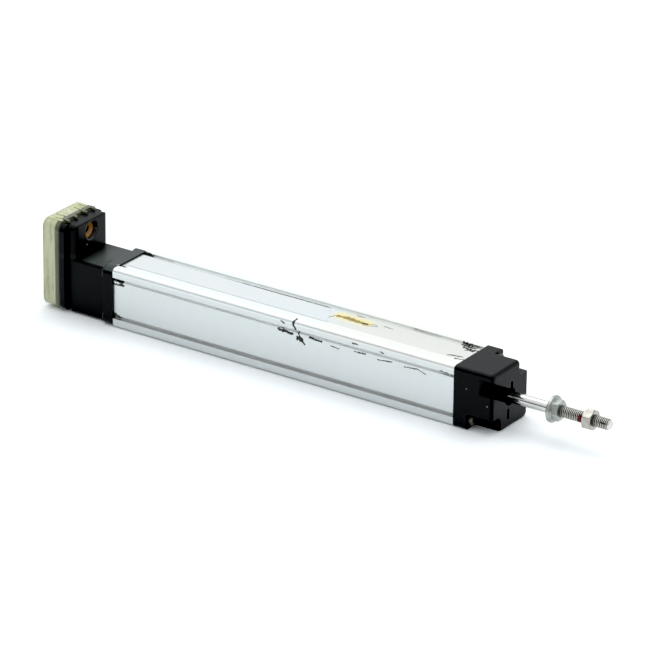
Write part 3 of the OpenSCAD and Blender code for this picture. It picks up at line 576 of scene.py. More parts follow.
@dataclass(frozen=True)
class Moulded(Finish):
    """Moulded plastic or rubber with a fine grain, pale rubbed edges, scuffs and dust, and where given painted shade
    spots, painted glints among pale knocks, and a painted highlight on the low top at the rear.

    Attributes:
        base: the plastic's colour.
        worn: the colour at rubbed edges, also used as a painted highlight on the boss collars and the cable seal.
        dust: the colour of the dust.
        knock_and_glint_colour: the colour of the small pale knocks and painted glints.
        roughness: the middle roughness.
        specular: how strongly the surface mirrors.
        grain: how many grains there are to a millimetre.
        depth: the height of the grain.
        edge: the radius that the shading gives the edges.
        soft_edge: how much larger that is at the top of the box's front.
        wear: the share of rubbed edges.
        dustiness: the share of dust.
        knocks_and_glints: the small pale knocks and painted glints, as strokes on the surface.
        shade_spots: dark spots of painted shade in notches, slots and holes, as strokes on the surface.
        shade_spot_colour: the colour of that painted shade.
        film: the paler colour of a painted highlight on the low top at the rear, where light falls on it.
        lit_top_to_x: where that painted highlight ends towards the front.
        lit_top_z: between which heights it lies.
    """

    base: Colour = (0.0022, 0.0024, 0.0026)
    worn: Colour = (0.022, 0.023, 0.024)
    dust: Colour = (0.10, 0.10, 0.095)
    knock_and_glint_colour: Colour = (0.42, 0.42, 0.40)
    roughness: float = 0.34
    specular: float = 0.12
    grain: float = 5.0
    depth: float = 0.02
    edge: float = 0.3
    soft_edge: float = 1.6
    wear: float = 0.2
    dustiness: float = 0.12
    knocks_and_glints: tuple[Mark, ...] = ()
    shade_spots: tuple[Mark, ...] = ()
    shade_spot_colour: Colour = (0.001, 0.001, 0.001)
    film: Colour = (0.052, 0.062, 0.058)
    lit_top_to_x: float = -500.0
    lit_top_z: tuple[float, float] = (30.8, 33.3)

    def build(self, effects: Effects) -> bpy.types.Material:
        """Makes the material.

        Args:
            effects: the shared node groups.

        Returns:
            The material.
        """
        material, t, shader = self.start()
        point = t.place()
        grain = t.use(effects.grain, Point=point, Scale=self.grain, Contrast=1.6)
        x, _, z = t.parts(point)
        soft = t.math("MULTIPLY", t.step(z, 44.0, 46.0), t.step(x, -152.0, -151.0))
        radius = t.math("MULTIPLY_ADD", soft, self.soft_edge * MM, self.edge * MM)
        edges = t.use(effects.edges, Radius=radius, Reach=2.5)
        scuffs = t.use(effects.scuffs, Point=point, Scale=0.22, Amount=0.35)
        dust = t.use(effects.dust, Point=point, Amount=self.dustiness, Scale=0.5)
        rubbed = t.math("MULTIPLY", edges.outputs["Mask"], t.step(t.noise(point, 0.9, 4.0), 0.4, 0.7))
        rubbed = t.math("MULTIPLY", rubbed, self.wear)
        rubbed = t.math("MAXIMUM", rubbed, t.math("MULTIPLY", scuffs.outputs["Mask"], 0.4))
        tone = t.math("MULTIPLY_ADD", grain.outputs["Value"], 0.4, 0.8)
        colour = t.node("ShaderNodeVectorMath", {0: self.base, "Scale": tone}, operation="SCALE").outputs[0]
        colour = t.mix(rubbed, colour, self.worn)
        colour = t.mix(dust.outputs["Mask"], colour, self.dust)
        # Painted highlight: the low top at the rear is painted paler where light falls on it, and fades to a tenth
        # towards the box as painted shade.
        film = t.step(z, self.lit_top_z[0], self.lit_top_z[0] + 0.15)
        film = t.math("MULTIPLY", film, t.step(z, self.lit_top_z[1] - 0.1, self.lit_top_z[1], 1.0, 0.0))
        film = t.math("MULTIPLY", film, t.step(x, self.lit_top_to_x - 0.3, self.lit_top_to_x, 1.0, 0.0))
        film = t.math("MULTIPLY", film, t.step(x, -147.5, -138.0, 0.1, 1.0))
        colour = t.mix(film, colour, self.film)
        # Painted shade: dark strokes stand for the shade in small notches, slots and holes.
        if self.shade_spots:
            shade_spots = self.strokes(t, effects, point, self.shade_spots, 1.0, 0.6)
            colour = t.mix(shade_spots, colour, self.shade_spot_colour)
        # Pale knocks, with painted glints among them.
        if self.knocks_and_glints:
            swell = t.step(t.noise(point, 2.2, 2.0), 0.35, 0.6, 0.4, 1.3)
            colour = t.mix(self.strokes(t, effects, point, self.knocks_and_glints, swell, 0.4), colour, self.knock_and_glint_colour)
        t.feed(shader.inputs["Base Color"], colour)
        rough = t.math("MULTIPLY_ADD", grain.outputs["Value"], 0.16, self.roughness - 0.08)
        rough = t.math("MULTIPLY_ADD", rubbed, 0.25, rough)
        t.feed(shader.inputs["Roughness"], t.math("MULTIPLY_ADD", dust.outputs["Mask"], 0.3, rough, clamp=True))
        t.feed(shader.inputs["Specular IOR Level"], self.specular)
        height = grain.outputs["Height"]
        t.feed(shader.inputs["Normal"], self.bump(t, height, self.depth, 0.35, edges.outputs["Normal"]))
        return material


@dataclass(frozen=True)
class Metal(Finish):
    """Plated, turned or ground metal with mottled roughness, dirt and dull edges.

    Attributes:
        base: the metal's colour.
        dull: the colour where the surface has gone dull.
        dirt: the colour of the dirt.
        roughness: the middle roughness.
        mottle: how many mottles there are to a millimetre.
        dirtiness: the share of dirt.
    """

    base: Colour = (0.60, 0.60, 0.58)
    dull: Colour = (0.40, 0.41, 0.38)
    dirt: Colour = (0.07, 0.055, 0.04)
    roughness: float = 0.3
    mottle: float = 0.9
    dirtiness: float = 0.25
    edge: float = 0.15

    def build(self, effects: Effects) -> bpy.types.Material:
        """Makes the material.

        Args:
            effects: the shared node groups.

        Returns:
            The material.
        """
        material, t, shader = self.start()
        point = t.place()
        mottle = t.use(effects.grain, Point=point, Scale=self.mottle, Contrast=2.2)
        fine = t.use(effects.grain, Point=point, Scale=7.0, Contrast=1.0)
        edges = t.use(effects.edges, Radius=self.edge * MM, Reach=3.0)
        stain = t.step(t.noise(point, 0.8, 5.0, 0.6), 0.52, 0.68)
        stain = t.math("MULTIPLY", stain, self.dirtiness)
        colour = t.mix(mottle.outputs["Value"], self.base, self.dull)
        colour = t.mix(t.math("MULTIPLY", edges.outputs["Mask"], 0.4), colour, self.base)
        colour = t.mix(stain, colour, self.dirt)
        t.feed(shader.inputs["Base Color"], colour)
        shader.inputs["Metallic"].default_value = 1.0
        rough = t.math("MULTIPLY_ADD", mottle.outputs["Value"], 0.2, self.roughness - 0.1)
        t.feed(shader.inputs["Roughness"], t.math("MULTIPLY_ADD", stain, 0.4, rough, clamp=True))
        height = fine.outputs["Height"]
        t.feed(shader.inputs["Normal"], self.bump(t, height, 0.01, 0.4, edges.outputs["Normal"]))
        return material


@dataclass(frozen=True)
class RodSteel(Finish):
    """Ground steel: a polished shank, a thread with painted shade in its roots, a painted reflection by the front
    flange and a band of red sealing lacquer.

    Attributes:
        base: the steel's colour.
        thread: the colour of the thread's flanks.
        grime_and_shade: the colour of the painted shade in the thread's roots and of the dirt at the nuts, also used
            for the painted reflection by the flange.
        lacquer: the colour of the sealing lacquer.
        axis_z: height of the rod's axis.
        crest: radius of the thread's crests.
        thread_start: where the thread starts.
        tip: where the rod ends.
        band: start and end of the lacquer along the rod.
        nicks: the dark nicks in the thread by its end.
        rust: start and end of the dark stain ahead of each nut.
        flange_reflection: where the painted dark reflection of the black flange on the rod thins out and ends.
    """

    base: Colour = (0.60, 0.595, 0.58)
    thread: Colour = (0.67, 0.66, 0.60)
    grime_and_shade: Colour = (0.014, 0.012, 0.008)
    lacquer: Colour = (0.13, 0.006, 0.009)
    axis_z: float = 16.5
    crest: float = 2.97
    thread_start: float = 135.0
    tip: float = 168.65
    band: tuple[float, float] = (151.4, 154.6)
    nicks: tuple[Mark, ...] = (Mark((164.4, -2.7, 17.9), (167.2, -2.6, 17.6), 0.9),)
    rust: tuple[tuple[float, float], ...] = ((140.3, 144.2), (159.4, 162.6))
    flange_reflection: tuple[float, float] = (112.5, 119.5)

    def build(self, effects: Effects) -> bpy.types.Material:
        """Makes the material.

        Args:
            effects: the shared node groups.

        Returns:
            The material.
        """
        material, t, shader = self.start()
        point = t.place()
        x, y, z = t.parts(point)
        off = t.math("SUBTRACT", z, self.axis_z)
        radius = t.math("SQRT", t.math("ADD", t.math("MULTIPLY", y, y), t.math("MULTIPLY", off, off)))
        threaded = t.step(x, self.thread_start, self.thread_start + 0.3)
        inside = t.step(x, self.tip - 0.9, self.tip - 0.6, 1.0, 0.0)
        # Painted shade: the thread's roots are darkened, unevenly, up to the chamfer at the tip.
        root = t.step(radius, self.crest - 0.22, self.crest - 0.04, 1.0, 0.0)
        root = t.math("MULTIPLY", t.math("MULTIPLY", root, inside), threaded)
        uneven = t.noise(point, 1.1, 4.0)
        grime_and_shade = t.math("MULTIPLY", root, t.math("MULTIPLY_ADD", uneven, 0.8, 0.5, clamp=True))
        grime_and_shade = t.math("MAXIMUM", grime_and_shade, self.strokes(t, effects, point, self.nicks))
        for start, end in self.rust:
            ahead = t.math("MULTIPLY", t.step(x, start, end, 1.0, 0.0), t.step(x, start - 0.4, start))
            grime_and_shade = t.math("MAXIMUM", grime_and_shade, t.math("MULTIPLY", ahead, 0.9))
        start = t.math("MULTIPLY_ADD", uneven, 1.6, self.band[0] - 0.8)
        covered = t.math("MULTIPLY", t.math("GREATER_THAN", x, start), t.math("LESS_THAN", x, self.band[1]))
        side = t.step(t.math("ADD", t.math("MULTIPLY", y, 0.7), t.math("MULTIPLY", off, 0.7)), -0.3, 0.5, 1.0, 0.0)
        covered = t.math("MULTIPLY", covered, side)
        turned = t.use(effects.drawn, Point=point, Pitch=5.0, Stretch=3.0)
        # Painted reflection: the rod is darkened near the flange, where it mirrors the black flange and its pocket.
        flange_reflected = t.step(x, *self.flange_reflection, 1.0, 0.0)
        flange_reflected = t.math("MULTIPLY", flange_reflected, t.step(t.noise(point, 0.7, 3.0), 0.3, 0.6))
        colour = t.mix(t.math("MULTIPLY", flange_reflected, 0.85), self.base, self.grime_and_shade)
        colour = t.mix(threaded, colour, self.thread)
        colour = t.mix(grime_and_shade, colour, self.grime_and_shade)
        colour = t.mix(covered, colour, self.lacquer)
        t.feed(shader.inputs["Base Color"], colour)
        hidden = t.math("MAXIMUM", t.math("MULTIPLY", grime_and_shade, 0.7), covered)
        t.feed(shader.inputs["Metallic"], t.math("SUBTRACT", 1.0, hidden))
        smooth = t.math("MULTIPLY_ADD", turned.outputs["Value"], 0.08, 0.06)
        rough = t.math("MULTIPLY_ADD", threaded, 0.16, smooth)
        t.feed(shader.inputs["Roughness"], t.math("MULTIPLY_ADD", hidden, 0.25, rough))
        t.feed(shader.inputs["Normal"], self.bump(t, turned.outputs["Value"], 0.004, 0.4))
        return material


@dataclass(frozen=True)
class ClearPlastic(Finish):
    """Yellowed clear plastic: a scratched, slightly clouded cover with upright streaks painted as reflections.

    Attributes:
        base: the tint of the plastic.
        cloud: the colour of the darker upright streaks, which are painted reflections.
        pale: the colour of the rubbed places.
        rim: the grey of the edges.
        shaded: the colour over the black frame.
        roughness: the middle roughness.
        transmission: the share of light that passes.
        skirt: where the skirt over the black frame starts.
    """

    base: Colour = (0.80, 0.82, 0.58)
    cloud: Colour = (0.36, 0.39, 0.20)
    pale: Colour = (0.80, 0.80, 0.72)
    rim: Colour = (0.42, 0.42, 0.40)
    shaded: Colour = (0.055, 0.065, 0.022)
    roughness: float = 0.16
    transmission: float = 0.5
    skirt: tuple[float, float] = (-160.6, -160.0)

    def build(self, effects: Effects) -> bpy.types.Material:
        """Makes the material.

        Args:
            effects: the shared node groups.

        Returns:
            The material.
        """
        material, t, shader = self.start()
        point = t.place()
        x = t.parts(point)[0]
        # Painted reflection: upright streaks, stretched along Z, stand for reflected edges and walls.
        reflected_streak = t.noise(t.vector("MULTIPLY", point, (1.0, 1.0, 0.10)), 0.42, 3.0)
        blotch = t.noise(point, 0.25, 4.0)
        grain = t.use(effects.grain, Point=point, Scale=2.0, Contrast=1.5)
        scuffs = t.use(effects.scuffs, Point=point, Scale=0.15, Amount=0.7)
        edges = t.use(effects.edges, Radius=0.5 * MM, Reach=2.4)
        over_frame = t.step(x, *self.skirt)
        mask = t.math("MULTIPLY", t.step(reflected_streak, 0.40, 0.68), t.step(blotch, 0.3, 0.7, 0.2, 0.8))
        colour = t.mix(mask, self.base, self.cloud)
        colour = t.mix(t.math("MULTIPLY", scuffs.outputs["Mask"], 0.6), colour, self.pale)
        colour = t.mix(t.math("MULTIPLY", edges.outputs["Mask"], 0.8), colour, self.rim)
        colour = t.mix(t.math("MULTIPLY", over_frame, 0.85), colour, self.shaded)
        t.feed(shader.inputs["Base Color"], colour)
        rough = t.math("MULTIPLY_ADD", grain.outputs["Value"], 0.15, self.roughness - 0.07)
        t.feed(shader.inputs["Roughness"], t.math("MULTIPLY_ADD", scuffs.outputs["Mask"], 0.25, rough))
        shader.inputs["Transmission Weight"].default_value = self.transmission
        shader.inputs["IOR"].default_value = 1.5
        height = grain.outputs["Height"]
        t.feed(shader.inputs["Normal"], self.bump(t, height, 0.02, 0.3, edges.outputs["Normal"]))
        return material


@dataclass(frozen=True)
class LabelFilm(Finish):
    """Satin white film with faint bluish clouds, rubbed places and a worn end.

    Attributes:
        base: the film's colour.
        cool: the colour of the bluish clouds.
        rubbed: the colour of the rubbed places.
        dirt: the colour of the dark line along the far edge.
        far_y: where the far edge is.
    """

    base: Colour = (0.60, 0.63, 0.635)
    cool: Colour = (0.575, 0.625, 0.65)
    rubbed: Colour = (0.54, 0.55, 0.55)
    dirt: Colour = (0.035, 0.035, 0.033)
    far_y: float = 9.5

    def build(self, effects: Effects) -> bpy.types.Material:
        """Makes the material.

        Args:
            effects: the shared node groups.

        Returns:
            The material.
        """
        material, t, shader = self.start()
        point = t.place()
        x, y, _ = t.parts(point)
        # A dark line runs along the far edge, fainter towards the rear end.
        line = t.math("MULTIPLY", t.step(y, self.far_y - 1.15, self.far_y - 0.85), t.step(x, -75.0, -50.0, 0.15, 1.0))
        line = t.math("MULTIPLY", line, t.step(t.noise(point, 0.35, 4.0), 0.34, 0.44, 0.4, 1.0))
        cloud = t.step(t.noise(t.vector("MULTIPLY", point, (0.4, 1.0, 1.0)), 0.12, 3.0), 0.4, 0.65)
        cloud = t.math("MULTIPLY", cloud, t.step(x, -80.0, -20.0, 0.25, 1.0))
        scuffs = t.use(effects.scuffs, Point=point, Scale=0.25, Amount=0.6)
        grain = t.use(effects.grain, Point=point, Scale=3.0, Contrast=1.0)
        colour = t.mix(cloud, self.base, self.cool)
        colour = t.mix(t.math("MULTIPLY", scuffs.outputs["Mask"], 0.5), colour, self.rubbed)
        t.feed(shader.inputs["Base Color"], t.mix(line, colour, self.dirt))
        t.feed(shader.inputs["Roughness"], t.math("MULTIPLY_ADD", grain.outputs["Value"], 0.15, 0.3))
        t.feed(shader.inputs["Normal"], self.bump(t, grain.outputs["Height"], 0.01, 0.3))
        return material


def skin(name: str, rows: np.ndarray, ends: Ends, smooth: float = 35.0) -> bpy.types.Object:
    """Skins a grid of points whose second parameter goes once round.

    The grid's point (i, j) is joined to (i + 1, j) and (i, j + 1). With POLES
    the first and last rows are closed by one point each, at the row's mean;
    with RING the last row is joined to the first. The faces are turned so
    that the volume they enclose is positive.

    Args:
        name: the piece's name.
        rows: points in millimetres, of shape (rows, around, 3).
        ends: how the grid closes along its first parameter.
        smooth: the angle in degrees under which edges are shaded smooth.

    Returns:
        The object, whose mesh is in metres in the model's frame.
    """
    count, around, _ = rows.shape
    index = np.arange(count * around).reshape(count, around)
    if ends is Ends.RING:
        a, b = index, np.roll(index, -1, axis=0)
    else:
        a, b = index[:-1], index[1:]
    quads = np.stack([a, np.roll(a, -1, 1), np.roll(b, -1, 1), b], axis=-1).reshape(-1, 4)
    points = rows.reshape(-1, 3)
    fans = np.empty((0, 3), dtype=int)
    if ends is Ends.POLES:
        poles = np.stack([rows[0].mean(axis=0), rows[-1].mean(axis=0)])
        points = np.concatenate([points, poles])
        first, last = count * around, count * around + 1
        start = np.stack([np.full(around, first), np.roll(index[0], -1), index[0]], axis=-1)
        close = np.stack([np.full(around, last), index[-1], np.roll(index[-1], -1)], axis=-1)
        fans = np.concatenate([start, close])
    halves = np.concatenate([quads[:, [0, 1, 2]], quads[:, [0, 2, 3]], fans])
    corners = points[halves]
    volume = np.einsum("ij,ij->i", corners[:, 0], np.cross(corners[:, 1], corners[:, 2])).sum()
    if volume < 0:
        quads, fans = quads[:, ::-1], fans[:, ::-1]
    mesh = bpy.data.meshes.new(name)
    mesh.from_pydata((points * MM).tolist(), [], quads.tolist() + fans.tolist())
    mesh.validate()
    mesh.shade_smooth()
    piece = bpy.data.objects.new(name, mesh)
    bpy.context.scene.collection.objects.link(piece)
    mesh.set_sharp_from_angle(angle=math.radians(smooth))
    return piece


def soft_min(a: np.ndarray, b: np.ndarray, sharpness: float) -> np.ndarray:
    """Returns the smaller of two arrays, rounded where they cross.

    The formula is minus the logarithm of the sum of the two negative
    exponentials, each taken times the sharpness, divided by the sharpness.
    """
    return -np.logaddexp(-sharpness * a, -sharpness * b) / sharpness


def around_axis(x: np.ndarray, radius: np.ndarray, angle: np.ndarray, axis_z: float) -> np.ndarray:
    """Returns the points at a distance along X, a radius and an angle about the rod's axis.

    A point is (x, radius times the cosine, the axis height plus radius times
    the sine).
    """
    return np.stack([x, radius * np.cos(angle), axis_z + radius * np.sin(angle)], axis=-1)


@dataclass
class RodShape:
    """The push rod with its ground shank, ring grooves, helical thread and chamfered tip.

    Attributes:
        axis_z: height of the rod's axis.
        radius: radius of the shank.
        pitch: the thread's pitch.
        depth: depth from the thread's crests to its roots.
        crest: radius of the thread's crests.
        groove_radius: radius at the bottom of the two ring grooves.
        ring_width: width of each ring groove.
        thread_length: length from the tip to the thread's start.
        chamfer: length of the chamfer at the tip.
        per_pitch: rows of points to one pitch.
        around: points round the rod.
    """

    axis_z: float = 16.5
    radius: float = 3.0
    pitch: float = 1.0
    depth: float = 0.56
    crest: float = 2.97
    groove_radius: float = 2.5
    ring_width: float = 0.8
    thread_length: float = 34.6
    chamfer: float = 0.9
    per_pitch: int = 14
    around: int = 56

    def shank(self, x0: float, x1: float) -> tuple[np.ndarray, np.ndarray]:
        """Gives the shank's profile, with the two grooves that hold the coupling rings.

        Args:
            x0: the rod's rear end.
            x1: the end of the shank.

        Returns:
            The distances along X and the radius at each.
        """
        ring_a = low("coupling_rings", Axis.X)
        ring_b = high("coupling_rings", Axis.X) - self.ring_width
        x = [x0, x0 + 0.15, x0 + 0.3]
        r = [self.radius - 0.3, self.radius - 0.08, self.radius]
        for start in (ring_a, ring_b):
            end = start + self.ring_width
            x += [start - 0.02, start, start + 0.02, end - 0.02, end, end + 0.02]
            r += [self.radius, self.radius, self.groove_radius, self.groove_radius, self.radius, self.radius]
        run = np.linspace(ring_b + self.ring_width + 1.0, x1, 60)
        return np.concatenate([x, run]), np.concatenate([r, np.full(run.size, self.radius)])

    def thread(self, x: np.ndarray, angle: np.ndarray, tip: float) -> np.ndarray:
        """Gives the thread's radius at each distance and angle.

        The phase is the distance along X in pitches less the angle in turns.
        A triangle wave of the phase, stretched and cut off flat at the crests
        and roots, runs from the root radius to the crest radius. It fades in
        over the first pitch, and a cone from the tip cuts it off.

        Args:
            x: distances along X.
            angle: angles about the axis.
            tip: the rod's tip.

        Returns:
            The radius at each point of the grid.
        """
        phase = (x / self.pitch - angle / (2 * np.pi)) % 1.0
        wave = np.clip(1.42 * np.abs(2 * phase - 1) - 0.13, 0.0, 1.0)
        fade = np.clip((x - (tip - self.thread_length)) / self.pitch, 0.0, 1.0)
        full = self.crest - self.depth * (1 - wave) * fade
        cone = self.crest - self.chamfer + (tip - x) * 1.0
        return np.minimum(full, cone)

    def build(self) -> bpy.types.Object:
        """Makes the rod's piece.

        Returns:
            The object.
        """
        x0, tip = low("rod", Axis.X), high("rod", Axis.X)
        x1 = tip - self.thread_length
        shank_x, shank_r = self.shank(x0, x1 - 0.05)
        rows = int(round(self.thread_length / self.pitch * self.per_pitch)) + 1
        thread_x = np.linspace(x1, tip, rows)
        angle = np.linspace(0, 2 * np.pi, self.around, endpoint=False)[None, :]
        x = np.concatenate([shank_x, thread_x])[:, None] + 0 * angle
        radius = np.concatenate(
            [shank_r[:, None] + 0 * angle, self.thread(thread_x[:, None], angle, tip)]
        )
        points = around_axis(x, radius, angle + 0 * x, self.axis_z)
        return skin("push_rod_steel", points, Ends.POLES, 50.0)


@dataclass
class NutShape:
    """A hexagon nut with chamfered corners, a countersunk bore and, if it has one, a flange.

    Attributes:
        name: the piece's name.
        node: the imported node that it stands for.
        flats: width across the flats.
        flange_radius: radius of the flange, or 0 where there is none.
        flange_thick: thickness of the flange at its rim.
        bore: radius of the bore.
        countersink: radius of the countersink at each face.
        chamfer_rear: whether the rear face has chamfered corners.
        turn: the hexagon's turn about the rod, in degrees.
        waviness: how far the flange's rim is out of round.
        axis_z: height of the rod's axis.
        around: points round the nut.
        sharpness: how crisp the rounded edges are, per millimetre.
    """

    name: str
    node: str
    flats: float = 10.0
    flange_radius: float = 0.0
    flange_thick: float = 1.7
    bore: float = 2.68
    countersink: float = 3.15
    chamfer_rear: bool = True
    turn: float = 0.0
    waviness: float = 0.0
    axis_z: float = 16.5
    around: int = 180
    sharpness: float = 14.0

    def hexagon(self, angle: np.ndarray) -> np.ndarray:
        """Gives the hexagon's radius at each angle.

        Half the width across the flats, divided by the cosine of the angle to
        the middle of the nearest flat, with the corners rounded off.
        """
        sector = np.pi / 3
        to_flat = (angle - math.radians(self.turn)) % sector - sector / 2
        sharp = self.flats / 2 / np.cos(to_flat)
        corner = self.flats / 2 / math.cos(sector / 2) - 0.12
        return soft_min(sharp, np.full_like(sharp, corner), self.sharpness)

    def outside(self, x: np.ndarray, angle: np.ndarray, x0: float, x1: float) -> np.ndarray:
        """Gives the radius of the nut's outside.

        The hexagon is cut by a cone of 30 degrees to each chamfered face. The
        flange is the larger of the hexagon and a disc whose upper side falls
        in a cone towards its rim.

        Args:
            x: distances along X.
            angle: angles about the axis.
            x0: the rear face.
            x1: the front face.

        Returns:
            The radius at each point of the grid.
        """
        face = self.flats / 2 * 0.955
        slope = 1 / math.tan(math.radians(30))
        radius = soft_min(self.hexagon(angle) + 0 * x, face + (x1 - x) * slope, self.sharpness)
        if self.chamfer_rear:
            radius = soft_min(radius, face + (x - x0) * slope, self.sharpness)
        if self.flange_radius:
            rim = self.flange_radius * (1 - self.waviness * (0.5 + 0.5 * np.sin(angle * 7) * np.sin(angle * 3 + 1)))
            foot = rim - 0.5 + (x - x0) * 1.4
            cone = rim - (x - x0 - self.flange_thick) * 3.2
            disc = soft_min(soft_min(rim + 0 * x, foot, self.sharpness), cone, self.sharpness)
            radius = -soft_min(-radius, -disc, self.sharpness)
        return radius

    def build(self) -> bpy.types.Object:
        """Makes the nut's piece as a closed ring of rows.

        The rows go out over the rear face, along the outside, in over the
        front face and back through the bore, so the nut is one closed skin.

        Returns:
            The object.
        """
        x0, x1 = low(self.node, Axis.X), high(self.node, Axis.X)
        angle = np.linspace(0, 2 * np.pi, self.around, endpoint=False)[None, :]
        share = np.linspace(0, 1, 6)[1:-1, None]
        side = np.concatenate(
            [np.linspace(0, 1.2, 14), np.linspace(1.35, x1 - x0 - 1.35, 12), np.linspace(x1 - x0 - 1.2, x1 - x0, 12)]
        )[:, None]
        outside_x = x0 + side + 0 * angle
        outside_r = self.outside(outside_x, angle, x0, x1)
        rear_r = self.countersink + (outside_r[:1] - self.countersink) * share
        front_r = outside_r[-1:] + (self.countersink - outside_r[-1:]) * share
        sink = self.countersink - self.bore
        bore_x = np.array([x1, x1 - sink, x1 - sink - 0.05, x0 + sink + 0.05, x0 + sink, x0])[:, None] + 0 * angle
        bore_r = np.array([self.countersink, self.bore, self.bore, self.bore, self.bore, self.countersink])
        x = np.concatenate([x0 + 0 * rear_r, outside_x, x1 + 0 * front_r, bore_x])
        radius = np.concatenate([rear_r, outside_r, front_r, bore_r[:, None] + 0 * angle])
        return skin(self.name, around_axis(x, radius, angle + 0 * x, self.axis_z), Ends.RING, 28.0)


@dataclass
class LabelShape:
    """The bare film on the top panel, torn off along a slant at its front end.

    Attributes:
        start: its rear end.
        end_near: where its near edge ends.
        end_far: where its far edge ends.
        near_y: its near edge.
        far_y: its far edge.
        panel_z: height of the panel that it lies on.
        thick: its thickness.
        tear: how ragged the torn end is.
    """

    start: float = -121.6
    end_near: float = 4.4
    end_far: float = -3.5
    near_y: float = -6.6
    far_y: float = 9.5
    panel_z: float = 32.1
    thick: float = 0.12
    tear: float = 0.5

    def build(self) -> bpy.types.Object:
        """Makes the film as a closed skin.

        Across the film, a loop goes over its top and back along its underside.
        Along it, the points run from the rear end to the torn end, which is a
        slanted line with three sine waves added. The top swells by a few
        hundredths of a millimetre in slow waves.

        Returns:
            The object.
        """
        share_x = np.linspace(0, 1, 160)[:, None]
        across = np.concatenate([np.linspace(0, 1, 48), np.linspace(1, 0, 48)])[None, :]
        over = np.concatenate([np.ones(48), np.zeros(48)])[None, :]
        y = self.near_y + (self.far_y - self.near_y) * across + 0 * share_x
        torn = self.tear * (
            0.5 * np.sin(across * 23.0) + 0.3 * np.sin(across * 57.0 + 1.0) + 0.2 * np.sin(across * 131.0)
        )
        end = self.end_near + (self.end_far - self.end_near) * across + torn
        x = self.start + (end - self.start) * share_x
        swell = 0.015 * np.sin(x * 0.35) * np.sin(y * 0.5)
        z = self.panel_z + 0.02 + over * (self.thick + swell)
        points = np.stack([x, y + 0 * z, z], axis=-1)
        return skin("label_film", points, Ends.POLES, 30.0)


@dataclass
class EntryThread:
    """The thread in the cable entry's bore.

    Attributes:
        centre_z: height of the entry's axis.
        start: where the thread starts, at the seal.
        end: where it ends, at the box's face.
        outer: its root radius, a little inside the wall.
        depth: height of its ridges over the root.
        pitch: the thread's pitch.
    """

    centre_z: float = 42.6
    start: float = -151.2
    end: float = -148.7
    outer: float = 5.26
    depth: float = 0.46
    pitch: float = 0.75

    def build(self) -> bpy.types.Object:
        """Makes the thread as a closed ring.

        The inner radius is the outer one less the ridge's height, which is a
        triangle wave of the distance along X in pitches plus the angle in
        turns. The rows come back along the outer radius.

        Returns:
            The object.
        """
        angle = np.linspace(0, 2 * np.pi, 96, endpoint=False)[None, :]
        x = np.linspace(self.start, self.end, 49)[:, None] + 0 * angle
        wave = np.abs(2 * ((x / self.pitch + angle / (2 * np.pi)) % 1.0) - 1)
        ends = np.clip(np.minimum(x - self.start, self.end - x) / 0.25, 0.0, 1.0)
        inner = self.outer - 0.04 - self.depth * wave * ends
        x = np.concatenate([x, x[-1:], x[:1]])
        radius = np.concatenate([inner, np.full((2, angle.size), self.outer)])
        return skin("entry_thread", around_axis(x, radius, angle + 0 * x, self.centre_z), Ends.RING, 40.0)


@dataclass
class BossCollar:
    """The raised rim at the rear end of one screw boss of the rear plate.

    Attributes:
        name: the piece's name.
        y: the boss's middle across the part.
        z: its middle's height.
        x: where the boss ends.
        radius: radius of the rim's middle line.
        tube: radius of the rim's section.
    """

    name: str
    y: float
    z: float
    x: float = -129.68
    radius: float = 4.0
    tube: float = 0.24

    def build(self) -> bpy.types.Object:
        """Makes the rim as a torus round the boss's axis.

        A point is (x plus the tube times the sine of its angle round the tube,
        and a radius of the rim's plus the tube times the cosine, at an angle
        about the boss's axis).

        Returns:
            The object.
        """
        turn = np.linspace(0, 2 * np.pi, 14, endpoint=False)[:, None]
        angle = np.linspace(0, 2 * np.pi, 48, endpoint=False)[None, :]
        radius = self.radius + self.tube * np.cos(turn) + 0 * angle
        x = self.x + self.tube * np.sin(turn) + 0 * angle
        points = around_axis(x, radius, angle + 0 * turn, self.z)
        points[..., 1] += self.y
        return skin(self.name, points, Ends.RING, 60.0)


@dataclass
class TonguePad:
    """The ribbed pad on the cover's top over one spring tongue.

    Attributes:
        name: the piece's name.
        y: the tongue's middle across the part.
        start: the pad's rear end.
        end: its front end.
        width: its width.
        top_z: height of the cover's top.
        rise: how far the pad stands over it.
        ribs: the ribs' pitch along X.
    """

    name: str
    y: float
    start: float = -166.0
    end: float = -157.9
    width: float = 8.6
    top_z: float = 50.15
    rise: float = 0.22
    ribs: float = 2.3

    def build(self) -> bpy.types.Object:
        """Makes the pad as a closed skin.

        Across the pad, a loop goes over its top and back underneath. The
        height over the cover is the rise, times a rim that falls off over the
        last tenth of the width and length, times a wave of the distance along
        X whose trough is at half the rise.

        Returns:
            The object.
        """
        run = np.linspace(0, 1, 60)[:, None]
        across = np.concatenate([np.linspace(-1, 1, 24), np.linspace(1, -1, 24)])[None, :]
        over = np.concatenate([np.ones(24), np.zeros(24)])[None, :]
        x = self.start + (self.end - self.start) * run + 0 * across
        y = self.y + across * self.width / 2 + 0 * run
        rim = np.clip((1 - np.abs(across)) * 6, 0, 1) * np.clip(np.minimum(run, 1 - run) * 10, 0, 1)
        wave = 0.75 + 0.25 * np.cos(2 * np.pi * (x - self.start) / self.ribs)
        z = self.top_z - 0.3 * (1 - over) + over * (self.rise * rim * wave - 0.05)
        return skin(self.name, np.stack([x, y, z], axis=-1), Ends.POLES, 40.0)


def dress(material: bpy.types.Material, *nodes: str) -> None:
    """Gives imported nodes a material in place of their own.

    Args:
        material: the finish.
        nodes: the nodes' names.
    """
    for name in nodes:
        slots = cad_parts[name].data.materials
        slots.clear()
        slots.append(material)
        LOG.info("dressed %s in %s", name, material.name)


